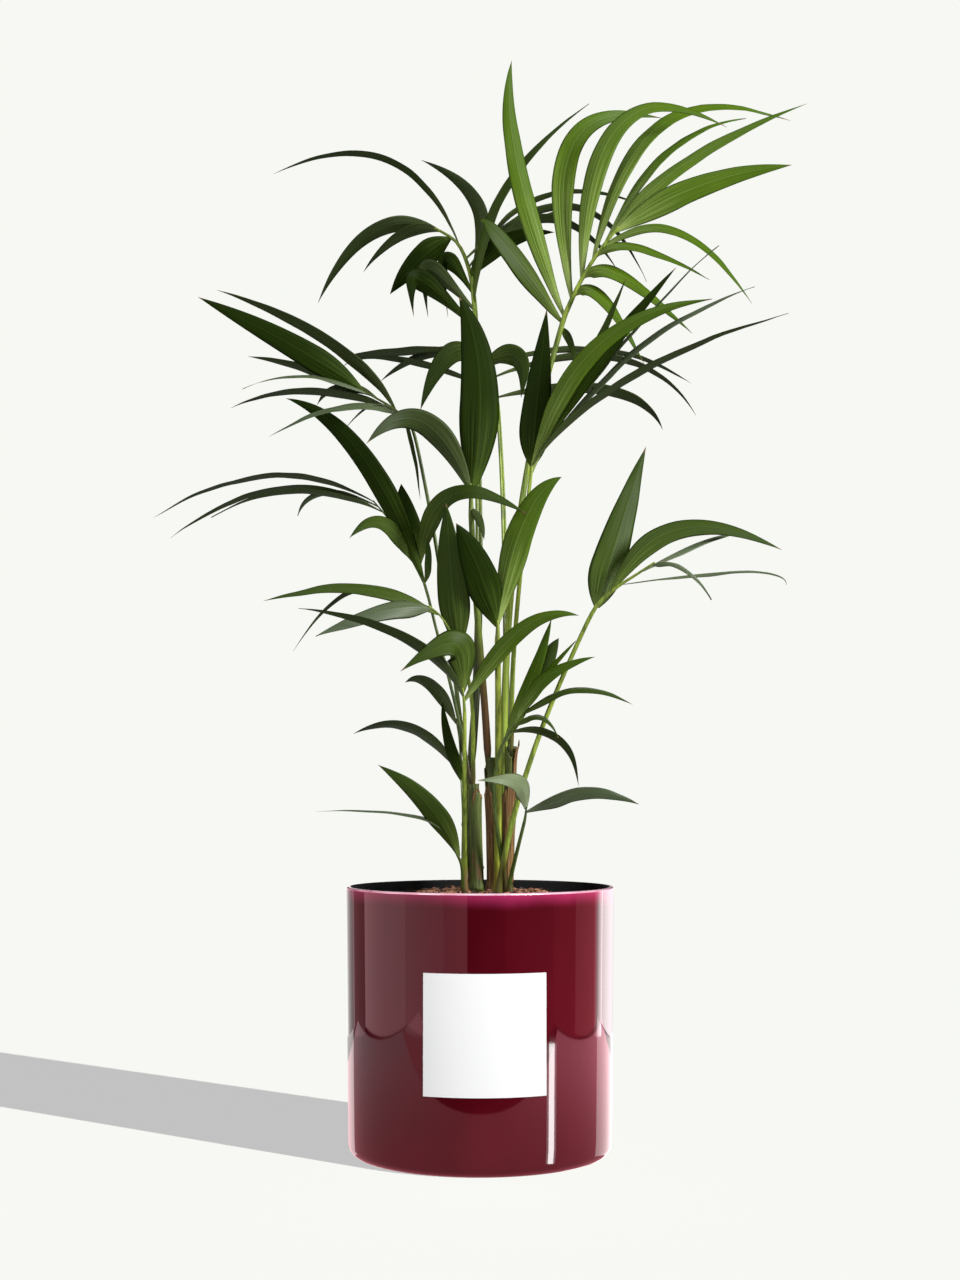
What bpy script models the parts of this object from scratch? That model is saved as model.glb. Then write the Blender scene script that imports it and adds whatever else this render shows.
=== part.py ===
"""Potted kentia palm: a glazed pot, its soil, a clump of young stems, and the fronds that rise from it.

Metres, +Z up. The pot's axis is the Z axis, its underside is at Z = 0, and -Y is the front.
"""

import math

import bmesh
import bpy
from mathutils import Vector

for old in list(bpy.data.objects):
    bpy.data.objects.remove(old)

MM = 0.001
SEAT = 0.3 * MM

# Pot
POT_HEIGHT = 235 * MM
RIM_RADIUS = 120.5 * MM
FOOT_RADIUS = 117 * MM
WALL = 5 * MM
FLOOR = 8 * MM
HEEL = 9 * MM
LIP = 1.6 * MM
POT_SIDES = 40

# Label on the pot's front
LABEL_WIDTH = 107 * MM
LABEL_BOTTOM = 66.5 * MM
LABEL_TOP = 168.5 * MM
LABEL_CENTRE = 4.5 * MM
LABEL_THICK = 0.4 * MM
LABEL_COLUMNS = 12

# Soil
SOIL_TOP = 230 * MM
SOIL_FALL = 15 * MM
SOIL_CROWN = 53 * MM

# Fronds. Spans, rises and joints are read in the upright plane through the pot's axis, from an eye
# this far in front of it and this high. "near" then brings a point toward the eye along its sight line.
EYE_DISTANCE = 1650 * MM
EYE_HEIGHT = 322 * MM

PETIOLE_SIDES = 6
RACHIS_SIDES = 5
LEAFLET_STEP = 60 * MM
LEAFLET_TURN = 0.7
FEWEST_STEPS = 3
MOST_STEPS = 6
LEAFLET_EDGE = 1.1 * MM
LEAFLET_NECK = 0.12
LEAFLET_SWELL = 0.34
LEAFLET_POINT = 3.0
LEAFLET_TIGHTEST = 0.6


def colour_of(name, colour, roughness):
    material = bpy.data.materials.new(name)
    material.use_nodes = True
    shader = material.node_tree.nodes["Principled BSDF"]
    shader.inputs["Base Color"].default_value = (*colour, 1)
    shader.inputs["Roughness"].default_value = roughness
    shader.inputs["Metallic"].default_value = 0
    return material


def add_object(name, points, faces, material, smooth=False):
    mesh = bpy.data.meshes.new(name)
    mesh.from_pydata([tuple(point) for point in points], [], faces)
    if material:
        mesh.materials.append(material)
    shell = bmesh.new()
    shell.from_mesh(mesh)
    bmesh.ops.recalc_face_normals(shell, faces=shell.faces)
    shell.to_mesh(mesh)
    shell.free()
    mesh.polygons.foreach_set("use_smooth", [smooth] * len(mesh.polygons))
    made = bpy.data.objects.new(name, mesh)
    bpy.context.collection.objects.link(made)
    return made


def turned(name, profile, sides, material):
    """A body turned from (radius, height) pairs; a radius of 0 closes it on the axis."""
    points, rings = [], []
    for radius, height in profile:
        if radius == 0:
            rings.append([len(points)] * sides)
            points.append((0, 0, height))
            continue
        rings.append([len(points) + side for side in range(sides)])
        for side in range(sides):
            angle = math.tau * side / sides
            points.append((radius * math.cos(angle), radius * math.sin(angle), height))
    faces = []
    for low, high in zip(rings, rings[1:]):
        for side in range(sides):
            after = (side + 1) % sides
            corners = [low[side], low[after], high[after], high[side]]
            faces.append(list(dict.fromkeys(corners)))
    return add_object(name, points, faces, material, smooth=True)


def tube(name, route, radii, sides, material, level_ends=()):
    """A closed tapering tube along a route of points, with the named rings level."""
    points, faces = [], []
    for index, centre in enumerate(route):
        ahead = route[min(index + 1, len(route) - 1)] - route[max(index - 1, 0)]
        if index in level_ends:
            ahead = Vector((0, 0, 1))
        across = ahead.cross(Vector((0, 1, 0))).normalized()
        out = across.cross(ahead).normalized()
        for side in range(sides):
            angle = math.tau * side / sides
            points.append(centre + radii[index] * (math.cos(angle) * across + math.sin(angle) * out))
    for index in range(len(route) - 1):
        for side in range(sides):
            after = (side + 1) % sides
            low, high = index * sides, (index + 1) * sides
            faces.append([low + side, low + after, high + after, high + side])
    faces.append(list(range(sides)))
    faces.append([(len(route) - 1) * sides + side for side in range(sides)])
    return add_object(name, points, faces, material, smooth=True)


def sighted(place):
    """The real point of a place given as across, near, up: seen there, and that near the eye."""
    across, near, up = place
    shrink = 1 - near / EYE_DISTANCE
    return Vector((across * shrink, -near, EYE_HEIGHT + (up - EYE_HEIGHT) * shrink))


def place_of(point):
    """The across, near, up of a real point."""
    shrink = 1 + point.y / EYE_DISTANCE
    return Vector((point.x / shrink, -point.y, EYE_HEIGHT + (point.z - EYE_HEIGHT) / shrink))


def limb(start, end, start_angle, end_angle, steps):
    """Places of a smooth limb from start to end that leaves and arrives at the given angles."""
    reach = math.hypot(end.x - start.x, end.z - start.z)
    depth = Vector((0, end.y - start.y, 0))
    first, last = math.radians(start_angle), math.radians(end_angle)
    leave = reach * Vector((math.cos(first), 0, math.sin(first))) + depth
    arrive = reach * Vector((math.cos(last), 0, math.sin(last))) + depth
    found = []
    for step in range(steps + 1):
        t = step / steps
        found.append(
            start * (1 + t * t * (2 * t - 3))
            + leave * (t * (1 - t) * (1 - t))
            + end * (t * t * (3 - 2 * t))
            - arrive * (t * t * (1 - t))
        )
    return found


def along(route, distance):
    """The place this far along a route, as seen from the front."""
    for low, high in zip(route, route[1:]):
        step = math.hypot(high.x - low.x, high.z - low.z)
        if distance <= step:
            return low.lerp(high, distance / step)
        distance -= step
    return route[-1].copy()


def leaflet_route(foot, span, rise, bow, peak, near, crease, steps):
    """Real points along a leaflet's middle: a straight line bent once, toward one corner."""
    length = math.hypot(span, rise)
    lift = bow * (1 + crease) / crease
    corner = Vector((peak * span - lift * rise / length, 0, peak * rise + lift * span / length))
    reach = Vector((span, 0, rise))
    route = []
    for step in range(steps + 1):
        t = step / steps
        bend, finish = 2 * crease * t * (1 - t), t * t
        total = (1 - t) ** 2 + bend + finish
        place = foot + (bend * corner + finish * reach) / total
        place.y = foot.y + (near - foot.y) * t
        route.append(sighted(place))
    return route


def leaflet(foot, row):
    """A tapering four-sided blade from its foot on the rachis to its tip."""
    span, rise, bow = [value * MM for value in row[1:4]]
    peak, wide, roll, near = row[4], row[5] * MM, math.radians(row[6]), row[7] * MM
    crease = row[8] if len(row) > 8 else 1
    reach = math.hypot(span, rise)
    turn = 4 * crease * abs(bow) / reach
    steps = round(max((reach + abs(bow)) / LEAFLET_STEP, turn / LEAFLET_TURN))
    steps = min(MOST_STEPS, max(FEWEST_STEPS, steps))
    middle = leaflet_route(foot, span, rise, bow, peak, near, crease, steps)
    points, faces = [], []
    for step, centre in enumerate(middle[:-1]):
        t = step / steps
        before = middle[max(step - 1, 0)]
        ahead = (middle[step + 1] - before).normalized()
        level = ahead.cross(Vector((0, 1, 0))).normalized()
        edge = math.cos(roll) * level + math.sin(roll) * ahead.cross(level)
        swell = min(1, LEAFLET_NECK + (1 - LEAFLET_NECK) * t / LEAFLET_SWELL)
        half = 0.5 * wide * swell * (1 - t**LEAFLET_POINT)
        bend = abs(((middle[step + 1] - centre).normalized() - (centre - before).normalized()).dot(edge))
        if step:
            half = min(half, LEAFLET_TIGHTEST * (middle[step + 1] - centre).length / max(bend, 0.01))
        back = edge.cross(ahead).normalized()
        points += [centre - half * edge, centre + LEAFLET_EDGE * back]
        points += [centre + half * edge, centre - LEAFLET_EDGE * back]
    tip = len(points)
    points.append(middle[-1])
    for low in range(0, tip - 4, 4):
        high = low + 4
        for rim in (0, 2):
            for ridge in (1, 3):
                faces.append([low + rim, low + ridge, high + ridge])
                faces.append([low + rim, high + ridge, high + rim])
    for side in range(4):
        faces.append([tip - 4 + side, tip - 4 + (side + 1) % 4, tip])
    faces.append([0, 1, 2, 3])
    return add_object("leaflet", points, faces, None)


def without_scraps(mesh):
    """Keeps only the mesh's largest island, and clears the specks that a union can leave."""
    shell = bmesh.new()
    shell.from_mesh(mesh)
    islands, left = [], set(shell.verts)
    while left:
        island, front = set(), [left.pop()]
        while front:
            point = front.pop()
            island.add(point)
            for side in point.link_edges:
                other = side.other_vert(point)
                if other in left:
                    left.remove(other)
                    front.append(other)
        islands.append(island)
    islands.sort(key=len)
    for island in islands[:-1]:
        bmesh.ops.delete(shell, geom=list(island), context="VERTS")
    shell.to_mesh(mesh)
    shell.free()


def joined(body, others):
    """The body with the others made one with it; the others are cleared away."""
    group = bpy.data.collections.new(body.name + "_leaflets")
    bpy.context.scene.collection.children.link(group)
    for other in others:
        group.objects.link(other)
        bpy.context.collection.objects.unlink(other)
    union = body.modifiers.new("leaflets", "BOOLEAN")
    union.operation = "UNION"
    union.operand_type = "COLLECTION"
    union.solver = "EXACT"
    union.collection = group
    graph = bpy.context.evaluated_depsgraph_get()
    whole = bpy.data.meshes.new_from_object(body.evaluated_get(graph))
    body.modifiers.clear()
    without_scraps(whole)
    body.data = whole
    for other in others:
        bpy.data.objects.remove(other)
    bpy.data.collections.remove(group)
    return body


GLAZE = colour_of("burgundy_glaze", (0.09, 0.005, 0.018), 0.08)
PAPER = colour_of("blank_label", (0.9, 0.9, 0.9), 0.5)
EARTH = colour_of("potting_soil", (0.06, 0.03, 0.02), 0.95)
CANE = colour_of("sheathed_stem", (0.10, 0.09, 0.03), 0.7)
STALK = colour_of("lime_petiole", (0.42, 0.55, 0.14), 0.45)
BLADE = colour_of("dark_green_blade", (0.03, 0.09, 0.02), 0.4)
YOUNG = colour_of("bright_green_blade", (0.13, 0.30, 0.05), 0.4)


# The pot is one turned shell: flat underside, rounded heel, nearly straight side, rounded lip.
def pot_profile():
    outer = [(0, 0), (FOOT_RADIUS - HEEL, 0)]
    for degrees in (30, 60, 90):
        angle = math.radians(degrees)
        outer.append((FOOT_RADIUS - HEEL + HEEL * math.sin(angle), HEEL - HEEL * math.cos(angle)))
    outer += [(RIM_RADIUS, POT_HEIGHT - LIP), (RIM_RADIUS - LIP, POT_HEIGHT)]
    inner = [(RIM_RADIUS - WALL + LIP, POT_HEIGHT), (RIM_RADIUS - WALL, POT_HEIGHT - LIP)]
    inner += [(FOOT_RADIUS - WALL, FLOOR + HEEL), (FOOT_RADIUS - WALL - HEEL, FLOOR), (0, FLOOR)]
    return outer + inner


def inner_radius(height):
    """The pot's inside radius at a height."""
    low, high = FLOOR + HEEL, POT_HEIGHT - LIP
    share = (height - low) / (high - low)
    return FOOT_RADIUS - WALL + (RIM_RADIUS - FOOT_RADIUS) * share


pot = turned("pot", pot_profile(), POT_SIDES, GLAZE)

# Soil is mounded round the plant to just under the rim, and falls toward the wall.
facet = math.cos(math.pi / POT_SIDES)
soil_foot = FLOOR + HEEL
soil_profile = [(0, FLOOR + SEAT), (FOOT_RADIUS - WALL - HEEL - SEAT, FLOOR + SEAT)]
soil_profile += [(inner_radius(soil_foot) * facet - SEAT, soil_foot + SEAT)]
soil_edge = SOIL_TOP - SOIL_FALL
soil_profile += [(inner_radius(soil_edge) * facet - SEAT, soil_edge), (SOIL_CROWN, SOIL_TOP), (0, SOIL_TOP)]
soil = turned("soil", soil_profile, POT_SIDES, EARTH)


# The label is a paper square that follows the round of the pot.
def label_points():
    points, faces = [], []
    for column in range(LABEL_COLUMNS + 1):
        for height in (LABEL_BOTTOM, LABEL_TOP):
            share = (height - HEEL) / (POT_HEIGHT - LIP - HEEL)
            radius = FOOT_RADIUS + (RIM_RADIUS - FOOT_RADIUS) * share + SEAT
            arc = LABEL_CENTRE + LABEL_WIDTH * (column / LABEL_COLUMNS - 0.5)
            angle = arc / radius - math.pi / 2
            for reach in (radius, radius + LABEL_THICK):
                points.append((reach * math.cos(angle), reach * math.sin(angle), height))
    for column in range(LABEL_COLUMNS):
        near, far = 4 * column, 4 * column + 4
        for first, second in ((0, 1), (1, 3), (3, 2), (2, 0)):
            faces.append([near + first, near + second, far + second, far + first])
    faces.append([0, 1, 3, 2])
    last = 4 * LABEL_COLUMNS
    faces.append([last, last + 1, last + 3, last + 2])
    return points, faces


label = add_object("label", *label_points(), PAPER)

# Stems: name, across, near, height above the soil, lean in degrees, radius at the foot and at the top.
STEMS = [
    ("stem_left", -2, 6, 97, -2, 5.2, 4.4),
    ("stem_left_back", -4, -26, 111, -3, 5.6, 4.6),
    ("stem_middle", 12, -12, 121, -1, 4.8, 4.2),
    ("stem_right", 24, 0, 131, 2, 5, 4.4),
    ("stem_right_back", 18, -36, 115, 3, 5.6, 4.6),
]
STEM_SIDES = 8
FLARE = 1.3
FLARE_HEIGHT = 10 * MM

stem_tops = {}
for name, across, near, height, lean, foot_radius, top_radius in STEMS:
    foot = Vector((across * MM, -near * MM, SOIL_TOP + SEAT))
    route, radii = [], []
    for share in (0, 0.07, 0.2, 0.45, 0.7, 1):
        rise = share * height * MM
        route.append(foot + Vector((math.tan(math.radians(lean)) * rise, 0, rise)))
        flare = 1 + (FLARE - 1) * max(0, 1 - rise / FLARE_HEIGHT)
        radii.append((foot_radius + (top_radius - foot_radius) * share) * MM * flare)
    tube(name, route, radii, STEM_SIDES, CANE, level_ends=(0, len(route) - 1))
    stem_tops[name] = route[-1]

# Fronds: where the petiole stands (across, near) or the stem it stands on and its clock angle there;
# the limb's angles at the foot, at the joint of petiole and rachis, and at the rachis's end; the joint
# (across, up, near); the rachis's end from that joint (across, up) and how near it is; the radius at
# the foot; and the blade's colour. Each leaflet: place along the rachis, span, rise, bow to the left
# of its line, where along that line its bend has its corner, width, roll about its own line in
# degrees, and how near its tip is. A folded leaflet adds how tightly it creases.
FRONDS = {
    "a": {
        "foot": (25, -17),
        "angles": (93, 73, 48),
        "joint": (74, 745, -5),
        "end": (55, 98, 10),
        "radius": 3.9,
        "blade": YOUNG,
        "leaflets": [
            (14, -49, 244, 15, 0.7, 22, 20, -20),
            (32, 84, 172, 63, 0.84, 24, 15, -110, 1.3),
            (52, 136, 145, 74, 0.84, 22, 20, -50, 1),
            (70, 187, 136, 68, 0.63, 20, 35, -150, 1.15),
            (90, 134, 122, 25, 0.65, 14, 45, -85),
            (104, 182, 125, 17, 0.35, 18, 30, -15),
            (108, 165, 63, 12, 0.5, 26, 10, 30),
            (86, 140, -52, 40, 0.3, 16, 40, 50),
            (78, 105, -22, 16, 0.1, 16, 40, 35),
            (54, 101, -52, 18, 0, 20, 30, 30),
            (35, 65, -64, 17, -0.1, 18, 30, 25),
            (8, -76, 95, -4, 1.0, 24, 25, 40),
            (3, 14, -36, 3, 0.3, 9, 20, -25),
        ],
    },
    "b": {
        "stem": ("stem_left_back", 60),
        "angles": (85, 91, 168),
        "joint": (-4, 740, -70),
        "end": (-38, 102, -105),
        "radius": 4.0,
        "blade": BLADE,
        "leaflets": [
            (88, -172, 68, -51, 0.5, 12, 66, -170),
            (60, -45, 107, -31, 0.45, 18, 30, -150),
            (112, -111, -69, -30, 0.33, 17, 30, -150),
            (110, -71, -39, -14, 0.3, 15, 50, -125),
            (98, -56, -53, -5, 0.42, 26, 20, -95),
            (8, -57, 10, -36, 1.25, 22, 20, -45, 3),
            (24, -43, -6, -45, 1.0, 20, 25, -78, 3),
            (40, -23, -22, -40, -0.3, 18, 35, -100, 3),
            (58, 165, 64, 44, 0.5, 10, 68, -220),
            (50, 104, 74, 14, 0.5, 10, 64, -180),
            (64, 138, -2, 48, 0.55, 13, 52, -100),
            (72, 168, -20, 62, 0.6, 11, 58, -140),
            (54, 78, 44, 14, 0.5, 20, 35, -70),
            (30, 107, 191, 28, 0.45, 16, 45, -40),
        ],
    },
    "c": {
        "stem": ("stem_left_back", 200),
        "angles": (97, 103, 150),
        "joint": (-60, 646, -10),
        "end": (-51, 44, 0),
        "radius": 2.4,
        "blade": BLADE,
        "leaflets": [
            (66, -153, 88, -4, 0.4, 25, 10, 60),
            (30, -166, 113, -18, 0.4, 16, 50, -60),
            (56, -115, 37, -5, 0.5, 14, 55, -30),
            (26, -155, 5, -18, 0.56, 13, 66, -95),
            (60, -116, 4, -15, 0.54, 12, 65, 40),
            (24, -121, -20, -16, 0.3, 16, 48, 85),
            (50, -56, -5, -13, 0.7, 12, 60, -70),
            (38, -40, -22, -8, 0.3, 10, 60, 45),
            (22, 17, -78, 3, 0.25, 12, 68, 5),
        ],
    },
    "d": {
        "stem": ("stem_right_back", 60),
        "angles": (91, 94, 142),
        "joint": (17, 666, -90),
        "end": (-25, 62, -105),
        "radius": 3.0,
        "blade": BLADE,
        "leaflets": [
            (66, -120, -6, -2, 0.75, 14, 67, -130),
            (22, -139, 25, -14, 0.8, 13, 70, -175),
            (62, -88, -26, -12, 0.5, 14, 58, -150),
            (64, -50, -54, -16, 0.1, 27, 20, -95),
            (50, 34, -32, 25, 0.3, 22, 20, -75),
            (46, 189, -15, 24, 0.6, 12, 70, -200),
            (34, 188, -34, 39, 0.65, 13, 65, -150),
            (16, 153, -30, 26, 0.8, 16, 55, -100),
        ],
    },
    "e": {
        "stem": ("stem_middle", 150),
        "angles": (93, 92, 96),
        "joint": (-8, 572, 40),
        "end": (-1, 30, 44),
        "radius": 3.6,
        "blade": BLADE,
        "leaflets": [
            (20, -11, 185, -14, 0.65, 38, 5, 55),
            (22, -96, 45, -40, 0.8, 24, 20, 95),
            (8, 12, -30, 3, 0.3, 10, 30, 60),
        ],
    },
    "f": {
        "stem": ("stem_right", 270),
        "angles": (91, 84, 70),
        "joint": (46, 604, 24),
        "end": (8, 38, 26),
        "radius": 2.4,
        "blade": BLADE,
        "leaflets": [
            (14, 14, 147, 1, 0.3, 30, 5, 20),
            (8, 168, 163, 42, 0.55, 22, 25, 95),
            (20, 133, 181, 4, 0.6, 18, 45, 80),
            (24, 86, 168, -4, 0.5, 14, 45, 50),
            (18, 206, 164, 22, 0.6, 13, 55, 60),
            (12, 238, 145, 25, 0.35, 13, 62, 120),
            (28, 171, 194, 6, 0.8, 8, 64, 65),
        ],
    },
    "g": {
        "foot": (16, 33),
        "angles": (82, 64, 36),
        "joint": (101, 480, 70),
        "end": (59, 49, 95),
        "radius": 2.8,
        "blade": BLADE,
        "leaflets": [
            (10, 46, 148, 1, 0.3, 33, 10, 40),
            (30, 156, 38, 41, 0.42, 22, 25, 60),
            (60, 106, 34, 10, 0.8, 14, 68, 20),
            (74, 54, -33, 12, 0.3, 15, 60, 140),
            (40, 152, 0, 12, 1.0, 10, 68, 110),
        ],
    },
    "h": {
        "stem": ("stem_left", 180),
        "angles": (98, 104, 132),
        "joint": (-48, 500, 5),
        "end": (-50, 86, -25),
        "radius": 2.0,
        "blade": BLADE,
        "leaflets": [
            (12, -127, 170, -24, 0.72, 22, 15, 30),
            (98, -203, -14, -31, 0.45, 12, 70, -110),
            (92, -191, -28, -30, 0.45, 11, 68, -70),
            (86, -158, -4, -21, 0.5, 10, 66, -30),
            (95, -73, -10, -18, 0.8, 15, 55, -50),
            (34, -12, 70, 2, 0.5, 30, 15, -20),
            (28, -62, 25, -24, 0.8, 20, 35, 45),
            (26, 100, 49, 46, 0.5, 24, 30, 90),
            (10, 2, 44, -2, 0.5, 10, 40, 25),
        ],
    },
    "i": {
        "foot": (16, 12),
        "angles": (90, 91, 95),
        "joint": (16, 456, 62),
        "end": (0, 20, 64),
        "radius": 3.5,
        "blade": YOUNG,
        "leaflets": [
            (14, -38, 95, -3, 0.6, 32, 5, 100),
            (18, 59, 134, 15, 0.8, 28, 20, 75),
        ],
    },
    "j": {
        "stem": ("stem_left", 260),
        "angles": (92, 112, 150),
        "joint": (-17, 443, 50),
        "end": (-30, 46, 60),
        "radius": 2.1,
        "blade": BLADE,
        "leaflets": [
            (6, -12, 135, 1, 0.5, 30, 10, 95),
            (44, -160, 12, -18, 0.4, 18, 45, 90),
            (52, -106, -26, -8, 0.3, 20, 25, 115),
            (50, -128, -38, -37, 0.5, 10, 65, 60, 2),
        ],
    },
    "k": {
        "foot": (-13, 17),
        "angles": (91, 90, 98),
        "joint": (-14, 388, 55),
        "end": (-2, 26, 60),
        "radius": 2.3,
        "blade": BLADE,
        "leaflets": [
            (16, -151, 83, -23, 0.35, 14, 45, 130),
            (22, -57, 19, -39, 0.25, 33, 25, 100, 1.5),
            (14, 105, 78, 21, 0.75, 19, 30, 110),
        ],
    },
    "l": {
        "foot": (23, 24),
        "angles": (94, 72, 55),
        "joint": (18, 356, 60),
        "end": (30, 50, 68),
        "radius": 2.2,
        "blade": BLADE,
        "leaflets": [
            (8, 44, 114, -3, 0.5, 17, 35, 75),
            (58, 24, 54, 2, 0.7, 18, 20, 66),
            (50, 44, 58, 3, 0.5, 12, 60, 84),
            (32, 72, 58, 13, 0.5, 16, 42, 100),
            (36, 104, 11, 19, 0.5, 14, 60, 115),
            (24, 43, -9, 15, 0.55, 12, 60, 95),
            (18, 64, -47, 22, 0.5, 14, 58, 90),
        ],
    },
    "m": {
        "foot": (-14, 30),
        "angles": (105, 118, 125),
        "joint": (-19, 260, 46),
        "end": (-12, 22, 52),
        "radius": 1.8,
        "blade": BLADE,
        "leaflets": [
            (1, -73, 83, -10, 0.5, 22, 20, 90, 1.2),
            (26, -118, 20, -11, 0.1, 8, 64, 70),
        ],
    },
    "n": {
        "foot": (-15, -12),
        "angles": (92, 95, 105),
        "joint": (-16, 322, -12),
        "end": (-6, 64, -36),
        "radius": 2.1,
        "blade": BLADE,
        "leaflets": [
            (60, -47, 37, -12, 0.85, 16, 35, -85),
            (12, -98, 38, -23, 0.6, 16, 50, -100),
            (6, -18, 75, 3, 0.5, 14, 35, -5),
        ],
    },
    "o": {
        "foot": (24, 34),
        "angles": (78, 76, 84),
        "joint": (40, 292, 60),
        "end": (2, 14, 64),
        "radius": 2.0,
        "blade": BLADE,
        "leaflets": [
            (12, -44, 26, -16, 0.3, 20, 30, 105, 1.6),
            (10, 102, 7, 13, 0.55, 18, 45, 145),
        ],
    },
}
PETIOLE_STEPS = 6
RACHIS_STEPS = 4
STEM_SPREAD = 3 * MM
JOINT_RADIUS = 0.72
RACHIS_TIP = 0.6

for letter, frond in FRONDS.items():
    radius = frond["radius"] * MM
    first, second, third = frond["angles"]
    across, up, near = [value * MM for value in frond["joint"]]
    joint = Vector((across, near, up))
    end_across, end_up, end_near = [value * MM for value in frond["end"]]
    end = Vector((across + end_across, end_near, up + end_up))
    if "stem" in frond:
        stem, clock = frond["stem"]
        turn = math.radians(clock)
        foot = stem_tops[stem] + Vector((math.cos(turn), math.sin(turn), 0)) * STEM_SPREAD
        foot.z += SEAT
    else:
        across, near = frond["foot"]
        foot = Vector((across * MM, -near * MM, SOIL_TOP + SEAT))
    petiole = [sighted(place) for place in limb(place_of(foot), joint, first, second, PETIOLE_STEPS)]
    petiole[-1] -= (petiole[-1] - petiole[-2]).normalized() * 2 * SEAT
    radii = [radius * (1 + (JOINT_RADIUS - 1) * index / PETIOLE_STEPS) for index in range(PETIOLE_STEPS + 1)]
    tube("petiole_" + letter, petiole, radii, PETIOLE_SIDES, STALK, level_ends=(0,))
    rachis = limb(joint, end, second, third, RACHIS_STEPS)
    thin = [radii[-1] * (1 + (RACHIS_TIP - 1) * index / RACHIS_STEPS) for index in range(RACHIS_STEPS + 1)]
    body = tube("frond_" + letter, [sighted(place) for place in rachis], thin, RACHIS_SIDES, frond["blade"])
    joined(body, [leaflet(along(rachis, row[0] * MM), row) for row in frond["leaflets"]])
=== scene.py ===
"""Potted kentia palm: the looks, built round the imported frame. Metres, +Z up, -Y is the front."""

import math
import random

import bmesh
import bpy
import numpy as np
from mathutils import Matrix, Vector, noise


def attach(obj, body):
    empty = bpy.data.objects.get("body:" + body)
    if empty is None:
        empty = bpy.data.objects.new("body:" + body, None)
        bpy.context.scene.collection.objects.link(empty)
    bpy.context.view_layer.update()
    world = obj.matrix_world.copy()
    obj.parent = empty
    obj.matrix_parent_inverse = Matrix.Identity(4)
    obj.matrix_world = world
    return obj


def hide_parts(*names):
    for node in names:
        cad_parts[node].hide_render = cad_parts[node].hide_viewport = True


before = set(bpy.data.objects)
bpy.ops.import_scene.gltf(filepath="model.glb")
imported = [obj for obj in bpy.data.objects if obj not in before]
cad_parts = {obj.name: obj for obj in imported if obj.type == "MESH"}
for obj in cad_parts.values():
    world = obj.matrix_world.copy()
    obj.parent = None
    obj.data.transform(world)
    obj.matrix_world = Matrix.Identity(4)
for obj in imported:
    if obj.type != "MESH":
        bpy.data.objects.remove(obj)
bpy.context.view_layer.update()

MM = 0.001


# Pot
# A slip-cast stoneware cover pot, turned to a nearly straight side with a rounded heel and lip. It is
# dipped in a deep burgundy glaze that breaks pale along the lip, and glazed black inside. The pale
# band under the lip is painted brighter toward the right, where the light falls.
class Wire:
    """A socket in a node tree. A sum on wires adds the Math nodes that work it out."""

    def __init__(self, tree, socket):
        self.tree, self.socket = tree, socket

    def math(self, operation, *terms):
        node = self.tree.nodes.new("ShaderNodeMath")
        node.operation = operation
        for slot, term in zip(node.inputs, terms):
            join(self.tree, term, slot)
        return Wire(self.tree, node.outputs[0])

    def __add__(self, other):
        return self.math("ADD", self, other)

    def __radd__(self, other):
        return self.math("ADD", other, self)

    def __sub__(self, other):
        return self.math("SUBTRACT", self, other)

    def __rsub__(self, other):
        return self.math("SUBTRACT", other, self)

    def __mul__(self, other):
        return self.math("MULTIPLY", self, other)

    def __rmul__(self, other):
        return self.math("MULTIPLY", other, self)

    def __pow__(self, other):
        return self.math("POWER", self, other)

    def __abs__(self):
        return self.math("ABSOLUTE", self)

    def step(self, low, high):
        """0 below low, 1 above high, and a smooth rise between them."""
        node = self.tree.nodes.new("ShaderNodeMapRange")
        node.interpolation_type = "SMOOTHSTEP"
        join(self.tree, self, node.inputs["Value"])
        node.inputs["From Min"].default_value = low
        node.inputs["From Max"].default_value = high
        return Wire(self.tree, node.outputs["Result"])


def join(tree, term, slot):
    """Links a wire to a socket, or sets the socket to a plain value."""
    if isinstance(term, Wire):
        tree.links.new(term.socket, slot)
    elif slot.type == "RGBA" and len(term) == 3:
        slot.default_value = (*term, 1)
    else:
        slot.default_value = term


class Bench:
    """A node tree that nodes are laid out on."""

    def __init__(self, tree):
        self.tree = tree

    def node(self, kind, settings=None, values=None, output=0):
        """Adds a node: its settings first, then its sockets' values or links. Returns one of its outputs."""
        made = self.tree.nodes.new(kind)
        for name, value in (settings or {}).items():
            setattr(made, name, value)
        for name, value in (values or {}).items():
            slot = next((s for s in made.inputs if s.identifier == name), None)
            join(self.tree, value, slot or made.inputs[name])
        leaving = next((s for s in made.outputs if s.identifier == output), None)
        return Wire(self.tree, leaving or made.outputs[output])


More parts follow.
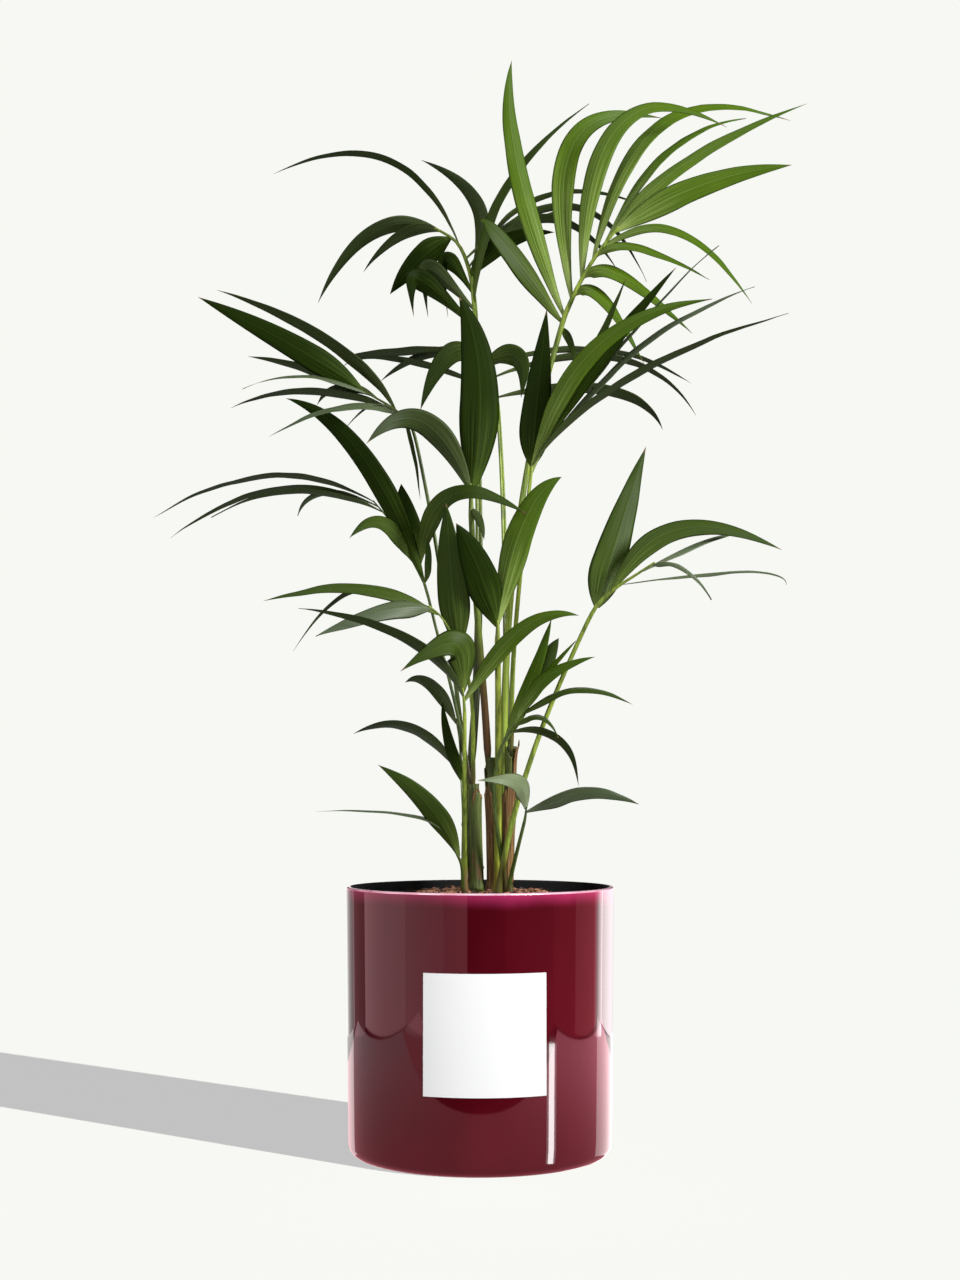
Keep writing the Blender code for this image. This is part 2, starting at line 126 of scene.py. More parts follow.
class Finish(Bench):
    """A surface finish: one Principled shader and what feeds it. Plain values sit on its own sockets."""

    def __init__(self, name, **plain):
        self.material = bpy.data.materials.new(name)
        self.material.use_nodes = True
        super().__init__(self.material.node_tree)
        self.shader = self.tree.nodes["Principled BSDF"]
        for slot, value in plain.items():
            join(self.tree, value, self.shader.inputs[slot.replace("_", " ").title().replace("Ior", "IOR")])

    def feed(self, slot, wire):
        join(self.tree, wire, self.shader.inputs[slot])

    def place(self):
        return self.node("ShaderNodeTexCoord", output="Object")

    def axis(self, letter):
        return self.node("ShaderNodeSeparateXYZ", values={"Vector": self.place()}, output=letter)

    def stretched(self, scale):
        """Object coordinates, finer by the given amount along each axis."""
        return self.node("ShaderNodeMapping", values={"Vector": self.place(), "Scale": scale})

    def cloud(self, where, scale, detail=3, roughness=0.5, distortion=0):
        values = {"Vector": where, "Scale": scale, "Detail": detail, "Roughness": roughness}
        return self.node("ShaderNodeTexNoise", values={**values, "Distortion": distortion})

    def mix(self, factor, first, second):
        values = {"Factor_Float": factor, "A_Color": first, "B_Color": second}
        return self.node("ShaderNodeMix", {"data_type": "RGBA"}, values, output="Result_Color")

    def relief(self, height, distance, strength=1):
        values = {"Height": height, "Distance": distance, "Strength": strength}
        self.feed("Normal", self.node("ShaderNodeBump", values=values))


def piece_of(name, points, faces, finishes, smooth=True, finish_of=None):
    """A mesh piece at the origin, with its finishes and its faces pointing outwards."""
    mesh = bpy.data.meshes.new(name)
    mesh.from_pydata([tuple(point) for point in points], [], [tuple(face) for face in faces])
    for finish in finishes:
        mesh.materials.append(finish.material)
    if finish_of:
        mesh.polygons.foreach_set("material_index", finish_of)
    shell = bmesh.new()
    shell.from_mesh(mesh)
    bmesh.ops.recalc_face_normals(shell, faces=shell.faces)
    shell.to_mesh(mesh)
    shell.free()
    mesh.polygons.foreach_set("use_smooth", [smooth] * len(mesh.polygons))
    made = bpy.data.objects.new(name, mesh)
    bpy.context.scene.collection.objects.link(made)
    return made


POT_HEIGHT = 235 * MM
RIM_RADIUS = 120.5 * MM
FOOT_RADIUS = 117 * MM
POT_WALL = 5 * MM
POT_FLOOR = 8 * MM
HEEL = 9 * MM
LIP = 1.6 * MM
SIDE_HEIGHT = POT_HEIGHT - LIP - HEEL
POT_SIDES = 192
ROUND_STEPS = 6
SIDE_STEPS = 18

glaze = Finish("burgundy glaze", roughness=0.04, ior=1.5, coat_weight=0.35, coat_roughness=0.02)
rise = glaze.axis("Z")
pooled = glaze.cloud(glaze.stretched((7, 7, 4)), 1.0, detail=4, roughness=0.6)
body = glaze.mix(pooled.step(0.3, 0.7), (0.038, 0.0014, 0.0035), (0.066, 0.0028, 0.0070))
streaked = rise + 0.02 * pooled
# Painted light: the pale band under the lip is brighter toward the right side, where the light falls.
painted_light_right = glaze.axis("X").step(-0.06, 0.05)
body = glaze.mix(streaked.step(0.230, 0.248) * (0.45 + 0.3 * painted_light_right), body, (0.46, 0.035, 0.14))
glaze.feed("Base Color", glaze.mix((1 - rise.step(0.0005, 0.006)) * 0.4, body, (0.24, 0.02, 0.06)))
glaze.relief(glaze.cloud(glaze.place(), 24, detail=1), 0.00004)

lip_glaze = Finish("pale broken glaze", roughness=0.12, ior=1.5, coat_weight=0.5)
thin_glaze = lip_glaze.cloud(lip_glaze.place(), 45, detail=4)
broken = lip_glaze.mix(thin_glaze.step(0.35, 0.7), (0.74, 0.44, 0.53), (0.52, 0.20, 0.29))
lip_glaze.feed("Base Color", broken)

inner_glaze = Finish("black glaze", roughness=0.5, specular_ior_level=0.12)
inside_haze = inner_glaze.cloud(inner_glaze.place(), 30, detail=4)
hazy_black = inner_glaze.mix(inside_haze, (0.0025, 0.0030, 0.0032), (0.006, 0.007, 0.007))
inner_glaze.feed("Base Color", hazy_black)


def arc(centre, radius, start, end, steps):
    """(radius, height) pairs round an arc between two angles in degrees."""
    angles = [math.radians(start + (end - start) * step / steps) for step in range(steps + 1)]
    return [(centre[0] + radius * math.cos(a), centre[1] + radius * math.sin(a)) for a in angles]


def wall_radius(height):
    """The pot's outer radius at a height on its straight side."""
    return FOOT_RADIUS + (RIM_RADIUS - FOOT_RADIUS) * (height - HEEL) / SIDE_HEIGHT


heel_curve = arc((FOOT_RADIUS - HEEL, HEEL), HEEL, -90, 0, ROUND_STEPS)
side_heights = [HEEL + SIDE_HEIGHT * step / SIDE_STEPS for step in range(1, SIDE_STEPS)]
side = [(wall_radius(height), height) for height in side_heights]
lip_curve = arc((RIM_RADIUS - LIP, POT_HEIGHT - LIP), LIP, 0, 90, ROUND_STEPS)
inner_lip = arc((RIM_RADIUS - POT_WALL + LIP, POT_HEIGHT - LIP), LIP, 90, 180, ROUND_STEPS)
inside_heel = arc((FOOT_RADIUS - POT_WALL - HEEL, POT_FLOOR + HEEL), HEEL, 0, -90, ROUND_STEPS)
pot_profile = [(0, 0)] + heel_curve + side + lip_curve + inner_lip + inside_heel + [(0, POT_FLOOR)]
lip_start = 1 + len(heel_curve) + len(side)
lip_end = lip_start + len(lip_curve)


def bands(rings):
    """Faces between rings of point numbers. A ring that repeats one number is a pole."""
    sides, faces = len(rings[0]), []
    for low, high in zip(rings, rings[1:]):
        for side in range(sides):
            after = (side + 1) % sides
            faces.append(list(dict.fromkeys([low[side], low[after], high[after], high[side]])))
    return faces


def turned(name, profile, sides, finishes, finish_from):
    """A closed turned piece. finish_from gives the finish's number for each band of the profile."""
    points, rings = [], []
    for radius, height in profile:
        if radius == 0:
            rings.append([len(points)] * sides)
            points.append((0, 0, height))
            continue
        rings.append([len(points) + side for side in range(sides)])
        for side in range(sides):
            angle = math.tau * side / sides
            points.append((radius * math.cos(angle), radius * math.sin(angle), height))
    finish_of = [finish_from(band) for band in range(len(rings) - 1) for _ in range(sides)]
    return piece_of(name, points, bands(rings), finishes, finish_of=finish_of)


def pot_finish(band):
    if band < lip_start:
        return 0
    return 1 if band < lip_end + 1 else 2


pot_shell = turned("glazed_pot", pot_profile, POT_SIDES, [glaze, lip_glaze, inner_glaze], pot_finish)
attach(pot_shell, "root")
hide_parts("pot")


# Label
# A square of smooth white paper stuck to the pot's front. It is bare, follows the round of the wall,
# and lies so flat that only its cut edge catches the light.
LABEL_WIDTH = 107 * MM
LABEL_BOTTOM = 66.5 * MM
LABEL_TOP = 168.5 * MM
LABEL_CENTRE = 4.5 * MM
LABEL_THICK = 0.4 * MM
LABEL_GLUE = 0.3 * MM
LABEL_COLUMNS = 40
LABEL_ROWS = 24
CUT_EDGE = 40

paper = Finish("white paper", roughness=0.42, coat_weight=0.08)
fibre = paper.cloud(paper.place(), 900, detail=5, roughness=0.7)
paper.feed("Base Color", paper.mix(fibre, (0.86, 0.865, 0.87), (0.93, 0.93, 0.93)))
paper.relief(fibre, 0.00006, 0.5)


def sheet_faces(columns, rows):
    """Faces of a thin sheet: two grids of points, one over the other, joined round their edge."""
    size = (rows + 1) * (columns + 1)
    faces = []
    for row in range(rows):
        for column in range(columns):
            corner = row * (columns + 1) + column
            above = corner + columns + 1
            faces.append([corner, above, above + 1, corner + 1])
            faces.append([size + corner, size + corner + 1, size + above + 1, size + above])
    edge = list(range(columns + 1))
    edge += [(row + 1) * (columns + 1) - 1 for row in range(1, rows + 1)]
    edge += [size - 1 - column for column in range(1, columns + 1)]
    edge += [row * (columns + 1) for row in range(rows - 1, 0, -1)]
    for first, second in zip(edge, edge[1:] + edge[:1]):
        faces.append([first, second, size + second, size + first])
    return faces


label_points = []
for layer in (LABEL_GLUE, LABEL_GLUE + LABEL_THICK):
    for row in range(LABEL_ROWS + 1):
        height = LABEL_BOTTOM + (LABEL_TOP - LABEL_BOTTOM) * row / LABEL_ROWS
        for column in range(LABEL_COLUMNS + 1):
            reach = LABEL_CENTRE + LABEL_WIDTH * (column / LABEL_COLUMNS - 0.5)
            radius = wall_radius(height) + layer
            angle = reach / radius - math.pi / 2
            label_points.append((radius * math.cos(angle), radius * math.sin(angle), height))
bare_label = piece_of("bare_label", label_points, sheet_faces(LABEL_COLUMNS, LABEL_ROWS), [paper])
bare_label.data.set_sharp_from_angle(angle=math.radians(CUT_EDGE))
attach(bare_label, "root")
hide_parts("label")


# Soil
# Bark and coir mix, mounded round the canes to just under the lip and fallen away toward the wall. Bark
# chips and loose coir strands lie on it.
SOIL_TOP = 230 * MM
SOIL_FALL = 15 * MM
SOIL_CROWN = 53 * MM
SOIL_REACH = RIM_RADIUS - POT_WALL - 1.2 * MM
SOIL_DEPTH = 12 * MM
SOIL_RINGS = 30
SOIL_SIDES = 110
SOIL_SWELL = 2.2 * MM
SOIL_LUMP = 14 * MM
CHIP_COUNT = 1500
CHIP_SIZE = 7.5 * MM
STRAND_COUNT = 420
STRAND_LENGTH = 16 * MM

earth = Finish("bark and coir mix", roughness=0.95)
crumb = earth.cloud(earth.place(), 420, detail=5, roughness=0.65)
damp = earth.cloud(earth.place(), 60, detail=2)
crumb_colour = earth.mix(crumb.step(0.35, 0.65), (0.014, 0.006, 0.004), (0.09, 0.030, 0.014))
earth.feed("Base Color", earth.mix(damp.step(0.45, 0.75), crumb_colour, (0.05, 0.018, 0.010)))
earth.relief(crumb, 0.0008)


def soil_height(radius, angle):
    """The lumpy bed's height: level under the canes, then falling away to the wall."""
    fall = max(0, (radius - SOIL_CROWN) / (SOIL_REACH - SOIL_CROWN))
    spot = Vector((radius * math.cos(angle), radius * math.sin(angle), 0)) / SOIL_LUMP
    lump = noise.noise(spot) + 0.5 * noise.noise(spot * 2.7)
    return SOIL_TOP - SOIL_SWELL * 0.8 - SOIL_FALL * fall + SOIL_SWELL * lump


bed_points, bed_rings = [(0, 0, soil_height(0, 0))], [[0] * SOIL_SIDES]
for ring in range(1, SOIL_RINGS + 1):
    radius = SOIL_REACH * ring / SOIL_RINGS
    bed_rings.append([len(bed_points) + side for side in range(SOIL_SIDES)])
    for side in range(SOIL_SIDES):
        angle = math.tau * side / SOIL_SIDES
        bed_points.append((radius * math.cos(angle), radius * math.sin(angle), soil_height(radius, angle)))
under = SOIL_TOP - SOIL_FALL - SOIL_DEPTH
bed_rings.append([len(bed_points) + side for side in range(SOIL_SIDES)])
for side in range(SOIL_SIDES):
    angle = math.tau * side / SOIL_SIDES
    bed_points.append((SOIL_REACH * math.cos(angle), SOIL_REACH * math.sin(angle), under))
bed_rings.append([len(bed_points)] * SOIL_SIDES)
bed_points.append((0, 0, under))
soil_bed = piece_of("soil_bed", bed_points, bands(bed_rings), [earth])
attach(soil_bed, "root")
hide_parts("soil")


class Recipe(Bench):
    """A Geometry Nodes tree with named inputs, which turns a source mesh into a piece."""

    def __init__(self, name, inputs):
        super().__init__(bpy.data.node_groups.new(name, "GeometryNodeTree"))
        self.names = {}
        for label, kind in {"Geometry": "Geometry", **inputs}.items():
            socket = self.tree.interface.new_socket(label, in_out="INPUT", socket_type="NodeSocket" + kind)
            self.names[label] = socket.identifier
        self.tree.interface.new_socket("Geometry", in_out="OUTPUT", socket_type="NodeSocketGeometry")
        self.entry = self.tree.nodes.new("NodeGroupInput")

    def given(self, label):
        return Wire(self.tree, self.entry.outputs[label])

    def stored(self, name, kind="FLOAT"):
        return self.node("GeometryNodeInputNamedAttribute", {"data_type": kind}, {"Name": name})

    def over(self, value, limit):
        return self.node("FunctionNodeCompare", {"operation": "GREATER_THAN"}, {"A": value, "B": limit})

    def end(self, geometry, finishes, number=None):
        """Realizes the instances and gives the faces their finishes, chosen by a stored number."""
        shape = self.node("GeometryNodeRealizeInstances", values={"Geometry": geometry})
        for index, finish in enumerate(finishes):
            values = {"Geometry": shape, "Material": finish.material}
            if number and index:
                values["Selection"] = self.over(number, index - 0.5)
            shape = self.node("GeometryNodeSetMaterial", values=values)
        leave = self.tree.nodes.new("NodeGroupOutput")
        self.tree.links.new(shape.socket, leave.inputs[0])

    def make(self, name, source, **settings):
        """Runs the tree on the source object and leaves a plain mesh piece at the origin."""
        change = source.modifiers.new(name, "NODES")
        change.node_group = self.tree
        for label, value in settings.items():
            change[self.names[label.replace("_", " ")]] = value
        graph = bpy.context.evaluated_depsgraph_get()
        mesh = bpy.data.meshes.new_from_object(source.evaluated_get(graph))
        source.modifiers.remove(change)
        mesh.name = name
        made = bpy.data.objects.new(name, mesh)
        bpy.context.scene.collection.objects.link(made)
        return made


def hidden_source(name, points, edges=(), faces=(), **stored):
    """A helper mesh with stored numbers or vectors at its points. It is removed once it has been used."""
    mesh = bpy.data.meshes.new(name)
    mesh.from_pydata([tuple(point) for point in points], list(edges), list(faces))
    for label, values in stored.items():
        vector = isinstance(values[0], (tuple, list, Vector))
        kind, slot = ("FLOAT_VECTOR", "vector") if vector else ("FLOAT", "value")
        layer = mesh.attributes.new(label, kind, "POINT")
        layer.data.foreach_set(slot, np.array([tuple(v) if vector else v for v in values], float).ravel())
    made = bpy.data.objects.new(name, mesh)
    bpy.context.scene.collection.objects.link(made)
    return made


def tube(rings):
    """Points and faces of a tube through rings of points, with both ends closed."""
    sides = len(rings[0])
    points = [point for ring in rings for point in ring]
    numbers = [[low + side for side in range(sides)] for low in range(0, len(points), sides)]
    return points, bands(numbers) + [numbers[0][::-1], numbers[-1]]


def chip_shape(name, sides, seed):
    """A broken flake of bark: an uneven slab with a worn, domed top, one unit across."""
    rng = random.Random(seed)
    rings = []
    for height, share in ((-0.16, 0.8), (0, 1), (0.17, 0.75)):
        ring = []
        for side in range(sides):
            angle = math.tau * side / sides
            radius = 0.5 * share * rng.uniform(0.75, 1.1)
            worn = height + rng.uniform(-0.05, 0.05)
            ring.append((1.5 * radius * math.cos(angle), radius * math.sin(angle), worn))
        rings.append(ring)
    points, faces = tube(rings)
    return hidden_source(name, points, faces=faces)


bark = Finish("bark chip", roughness=0.85)
grain = bark.cloud(bark.stretched((260, 260, 900)), 1.0, detail=4, roughness=0.6)
bark.feed("Base Color", bark.mix(grain.step(0.3, 0.7), (0.10, 0.032, 0.014), (0.42, 0.19, 0.10)))
bark.relief(grain, 0.0006)

dark_bark = Finish("dark bark chip", roughness=0.9)
dark_grain = dark_bark.cloud(dark_bark.stretched((300, 300, 700)), 1.0, detail=4)
dark_brown = dark_bark.mix(dark_grain.step(0.3, 0.7), (0.012, 0.006, 0.004), (0.06, 0.022, 0.012))
dark_bark.feed("Base Color", dark_brown)
dark_bark.relief(dark_grain, 0.0006)

coir = Finish("coir strand", roughness=0.8)
coir_tint = coir.cloud(coir.place(), 50, detail=2)
coir.feed("Base Color", coir.mix(coir_tint.step(0.35, 0.65), (0.16, 0.07, 0.03), (0.32, 0.18, 0.08)))


def strand_shape(name, seed, thickness):
    """A thin three-sided strand that wanders and tapers, one unit long."""
    rng = random.Random(seed)
    steps, rings = 7, []
    drift = [rng.uniform(-0.3, 0.3) for _ in range(4)]
    for step in range(steps + 1):
        t = step / steps
        wander = drift[0] * math.sin(3 * t) + drift[1] * t * t
        centre = Vector((t, wander, 0.25 * abs(drift[2]) * math.sin(math.pi * t)))
        radius = thickness * (1 - 0.7 * t)
        corners = [math.tau * corner / 3 for corner in range(3)]
        rings.append([centre + radius * Vector((0, math.cos(a), math.sin(a))) for a in corners])
    points, faces = tube(rings)
    return hidden_source(name, points, faces=faces)


scatter_inputs = {
    "Seed": "Int", "Count per area": "Float", "Spacing": "Float", "Size": "Float", "Shape": "Object",
    "Lift": "Float", "Lean": "Float", "Reach": "Float",
}


def scatter_recipe(name, finish):
    """Strews copies of a shape over the upward faces of the source, each turned and sized at random."""
    recipe = Recipe(name, scatter_inputs)
    seed = recipe.given("Seed")
    normal = recipe.node("GeometryNodeInputNormal")
    facing = recipe.node("ShaderNodeSeparateXYZ", values={"Vector": normal}, output="Z")
    values = {
        "Mesh": recipe.given("Geometry"),
        "Selection": recipe.over(facing, 0.3),
        "Distance Min": recipe.given("Spacing"),
        "Density Max": recipe.given("Count per area"),
        "Seed": seed,
    }
    spots = recipe.node("GeometryNodeDistributePointsOnFaces", {"distribute_method": "POISSON"}, values)
    place = recipe.node("GeometryNodeInputPosition")
    level = recipe.node("ShaderNodeVectorMath", {"operation": "MULTIPLY"}, {0: place, 1: (1, 1, 0)})
    radius = recipe.node("ShaderNodeVectorMath", {"operation": "LENGTH"}, {0: level}, "Value")
    values = {"Geometry": spots, "Selection": recipe.over(radius, recipe.given("Reach"))}
    spots = recipe.node("GeometryNodeDeleteGeometry", {"domain": "POINT"}, values)
    lean = recipe.given("Lean")
    low = recipe.node("ShaderNodeCombineXYZ", values={"X": 0 - lean, "Y": 0 - lean, "Z": 0.0})
    high = recipe.node("ShaderNodeCombineXYZ", values={"X": lean, "Y": lean, "Z": math.tau})
    values = {"Min": low, "Max": high, "Seed": seed}
    turn = recipe.node("FunctionNodeRandomValue", {"data_type": "FLOAT_VECTOR"}, values)
    values = {"Min_001": 0.45, "Max_001": 1.0, "Seed": seed + 1}
    share = recipe.node("FunctionNodeRandomValue", {"data_type": "FLOAT"}, values, "Value_001")
    values = {"Object": recipe.given("Shape")}
    shape = recipe.node("GeometryNodeObjectInfo", values=values, output="Geometry")
    values = {"Points": spots, "Instance": shape, "Rotation": turn, "Scale": share * recipe.given("Size")}
    strewn = recipe.node("GeometryNodeInstanceOnPoints", values=values)
    lift = recipe.node("ShaderNodeCombineXYZ", values={"X": 0.0, "Y": 0.0, "Z": recipe.given("Lift")})
    values = {"Geometry": strewn, "Offset": lift}
    recipe.end(recipe.node("GeometryNodeSetPosition", values=values), [finish])
    return recipe


chip = chip_shape("chip_shape", 7, 4)
long_chip = chip_shape("long_chip_shape", 6, 9)
strand = strand_shape("strand_shape", 5, 0.012)

# For each kind that lies on the soil: its finish, shape and seed, how many there are, how far apart, their
# length, how far they lift and lean in metres and radians, and how far they stay from the wall.
LITTER = {
    "bark_chips": (bark, chip, 3, CHIP_COUNT, 3 * MM, CHIP_SIZE, 1.2 * MM, 0.6, 0.7 * CHIP_SIZE),
    "dark_bark_chips": (
        dark_bark, long_chip, 8, CHIP_COUNT, 3.4 * MM, 1.1 * CHIP_SIZE, 0.9 * MM, 0.7, 0.8 * CHIP_SIZE
    ),
    "coir_strands": (
        coir, strand, 21, STRAND_COUNT, 2 * MM, STRAND_LENGTH, 1.2 * MM, 0.25, STRAND_LENGTH
    ),
}
for name, (finish, shape, seed, count, spacing, size, lift, lean, clear) in LITTER.items():
    litter = scatter_recipe(name + "_scatter", finish).make(
        name, soil_bed, Seed=seed, Count_per_area=count / (math.pi * SOIL_REACH**2), Spacing=spacing,
        Size=size, Shape=shape, Lift=lift, Lean=lean, Reach=SOIL_REACH - clear,
    )
    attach(litter, "root")
for helper in (chip, long_chip, strand):
    bpy.data.objects.remove(helper)


# Stems
# Five young canes. Each is a green cane ringed by the scars of shed leaves and wrapped in dry leaf
# bases, which split into brown papery flaps and loose fibres.
STEM_SIDES = 40
STEM_RINGS = 90
STEM_FLARE = 1.3
FLARE_HEIGHT = 10 * MM
SCAR_GAP = 15 * MM
SCAR_HEIGHT = 0.55 * MM
SCAR_EDGE = 0.07
SKIN_WAVE = 0.35 * MM
SKIN_GRAIN = 0.12 * MM
SKIN_LENGTH = 12 * MM
CANE_SINK = 6 * MM

# For each cane: its name, how far it stands to the right and to the front, its height, its lean to the
# right in degrees, and its radius at the foot and at the top, in millimetres.
STEMS = [
    ("stem_left", -2, 6, 97, -2, 5.2, 4.4),
    ("stem_left_back", -4, -26, 111, -3, 5.6, 4.6),
    ("stem_middle", 12, -12, 121, -1, 4.8, 4.2),
    ("stem_right", 24, 0, 131, 2, 5, 4.4),
    ("stem_right_back", 18, -36, 115, 3, 5.6, 4.6),
]

cane = Finish("green cane", roughness=0.5, specular_ior_level=0.25)
fine_fibre = cane.cloud(cane.stretched((700, 700, 30)), 1.0, detail=4, roughness=0.6)
blotch = cane.cloud(cane.stretched((90, 90, 28)), 1.0, detail=3)
cane_green = cane.mix(fine_fibre.step(0.3, 0.7), (0.018, 0.030, 0.004), (0.080, 0.100, 0.018))
cane.feed("Base Color", cane.mix(blotch.step(0.56, 0.70), cane_green, (0.075, 0.040, 0.018)))
cane.relief(fine_fibre, 0.0004)

husk = Finish("dry papery sheath", roughness=0.75, specular_ior_level=0.2)
husk_fibre = husk.cloud(husk.stretched((800, 800, 34)), 1.0, detail=5, roughness=0.65)
husk_patch = husk.cloud(husk.stretched((120, 120, 30)), 1.0, detail=3)
husk_tan = husk.mix(husk_fibre.step(0.36, 0.64), (0.040, 0.021, 0.007), (0.23, 0.13, 0.045))
husk.feed("Base Color", husk.mix(husk_patch.step(0.48, 0.66), husk_tan, (0.12, 0.055, 0.022)))
husk.relief(husk_fibre, 0.0008)

green_husk = Finish("green folded sheath", roughness=0.5, specular_ior_level=0.25)
green_fibre = green_husk.cloud(green_husk.stretched((800, 800, 24)), 1.0, detail=4, roughness=0.6)
green_patch = green_husk.cloud(green_husk.stretched((60, 60, 26)), 1.0, detail=3)
sheath_green = green_husk.mix(green_fibre.step(0.3, 0.7), (0.022, 0.036, 0.005), (0.110, 0.140, 0.026))
patchy_green = green_husk.mix(green_patch.step(0.56, 0.68), sheath_green, (0.11, 0.060, 0.025))
green_husk.feed("Base Color", patchy_green)
green_husk.relief(green_fibre, 0.0005)


def cane_radius(row, rise):
    """The cane's radius at a height above the soil: a straight taper with a flare at its foot."""
    _, _, _, height, _, foot_radius, top_radius = row
    flare = 1 + (STEM_FLARE - 1) * max(0, 1 - max(rise, 0) / FLARE_HEIGHT)
    return (foot_radius + (top_radius - foot_radius) * rise / (height * MM)) * MM * flare


def cane_centre(row, rise):
    """The middle of the cane at a height above the soil."""
    _, across, near, _, lean, _, _ = row
    return Vector((across * MM + math.tan(math.radians(lean)) * rise, -near * MM, SOIL_TOP + rise))


def round_cane(row, rise, radius, angle):
    """The point beside the cane at a height, a distance from its middle and an angle round it."""
    return cane_centre(row, rise) + radius * Vector((math.cos(angle), math.sin(angle), 0))


stem_tops = {}
for order, row in enumerate(STEMS):
    name, height = row[0], row[3] * MM
    stem_tops[name] = cane_centre(row, height)
    rings = []
    for step in range(STEM_RINGS + 1):
        rise = -CANE_SINK + (height + CANE_SINK) * step / STEM_RINGS
        scar = ((rise + 0.3 * SCAR_GAP * order) / SCAR_GAP) % 1
        ridge = SCAR_HEIGHT * math.exp(-((scar - 0.5) / SCAR_EDGE) ** 2)
        ring = []
        for side in range(STEM_SIDES):
            angle = math.tau * side / STEM_SIDES
            spot = Vector((math.cos(angle) * 2.5, math.sin(angle) * 2.5, rise / SKIN_LENGTH + 7 * order))
            relief = SKIN_WAVE * noise.noise(spot) + SKIN_GRAIN * noise.noise(spot * 4)
            ring.append(round_cane(row, rise, cane_radius(row, rise) + ridge + relief, angle))
        rings.append(ring)
    points, faces = tube(rings)
    bark_mesh = piece_of("cane_" + name[5:], points, faces, [cane])
    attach(bark_mesh, "root")
    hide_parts(name)


# Leaf bases
# The feet of shed leaves still clasp the canes. Each is a thin split sheath with a slanting frayed mouth,
# green while it is fresh and dry brown paper later, held by its own foot.
BASE_WALL = 0.45 * MM
BASE_COLUMNS = 36
BASE_ROWS = 30
BASE_GAP = 0.5 * MM
MOUTH_FRAY = 3.5 * MM
BASE_CREASE = 0.35 * MM

# For each sheath: its cane, its foot and mouth above the soil, the side of the cane it lies on as a clock
# angle, how far it wraps in degrees, its mouth's slant and how far it gapes, and whether it is dry.
LEAF_BASES = [
    ("stem_left", 0, 30, 95, 110, 9, 2.0, True),
    ("stem_left", 1, 98, 250, 190, 12, 1.0, False),
    ("stem_left", 66, 93, 300, 90, 7, 1.5, True),
    ("stem_left_back", 0, 74, 60, 250, 12, 3.0, True),
    ("stem_left_back", 60, 118, 180, 250, 14, 2.5, False),
    ("stem_middle", 0, 96, 235, 150, 12, 1.2, True),
    ("stem_middle", 60, 118, 110, 200, 10, 1.0, False),
    ("stem_right", 8, 100, 290, 170, 16, 2.0, True),
    ("stem_right", 60, 134, 190, 170, 12, 1.4, False),
    ("stem_right", 90, 138, 10, 150, 12, 3.2, True),
    ("stem_right_back", 0, 66, 60, 260, 13, 3.0, True),
    ("stem_right_back", 58, 120, 200, 240, 14, 2.0, False),
]


def leaf_base(row, bottom, top, turn, wrap, slant, gape):
    """A split tube round a cane, from bottom to top above the soil, open over the rest of its wrap."""
    points = []
    for layer in (0, BASE_WALL):
        for step in range(BASE_ROWS + 1):
            for column in range(BASE_COLUMNS + 1):
                share = column / BASE_COLUMNS
                angle = turn + wrap * (share - 0.5)
                fray = MOUTH_FRAY * noise.noise(Vector((11 * share, turn, top * 90)))
                mouth = top - slant * abs(2 * share - 0.9) + fray
                t = step / BASE_ROWS
                rise = bottom + (mouth - bottom) * t
                crease = BASE_CREASE * noise.noise(Vector((8 * share, 2 * t, turn)))
                loose = gape * max(0, 2 * t - 1) ** 2 * (0.4 + abs(2 * share - 1)) + crease
                radius = cane_radius(row, min(rise, row[3] * MM)) + BASE_GAP + loose + layer
                points.append(round_cane(row, rise, radius, angle))
    return points, sheet_faces(BASE_COLUMNS, BASE_ROWS)


stem_rows = {row[0]: row for row in STEMS}
for title, finish, wanted in (("dry_leaf_bases", husk, True), ("green_leaf_bases", green_husk, False)):
    base_points, base_faces = [], []
    for stem, bottom, top, clock, wrap, slant, gape, dry in LEAF_BASES:
        if dry is wanted:
            turn, wrap = math.radians(clock), math.radians(wrap)
            sheath = (stem_rows[stem], bottom * MM, top * MM, turn, wrap, slant * MM, gape * MM)
            points, faces = leaf_base(*sheath)
            base_faces += [[len(base_points) + point for point in face] for face in faces]
            base_points += points
    leaf_bases = piece_of(title, base_points, base_faces, [finish])
    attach(leaf_bases, "root")


# Petioles and ribs
# Each frond hangs on one slender stalk: a petiole, channelled along its upper side, which runs on as the
# rib that carries the leaflets. It is waxy lime green, darker at its foot. On the stalks that rise from
# the back canes, that dark foot reaches far up as painted shade.
EYE_DISTANCE = 1650 * MM
EYE_HEIGHT = 322 * MM
PETIOLE_STEPS = 6
RACHIS_STEPS = 4
STEM_SPREAD = 3 * MM
JOINT_RADIUS = 0.72
RIB_TIP = 0.5
PINCHED_FOOT = 0.62
PINCH_REACH = 0.06
FOOT_BULGE = 0.45
BULGE_REACH = 0.1
CHANNEL_LEAN = 0.6
STALK_STEPS = 60
ROUTE_FINENESS = 12

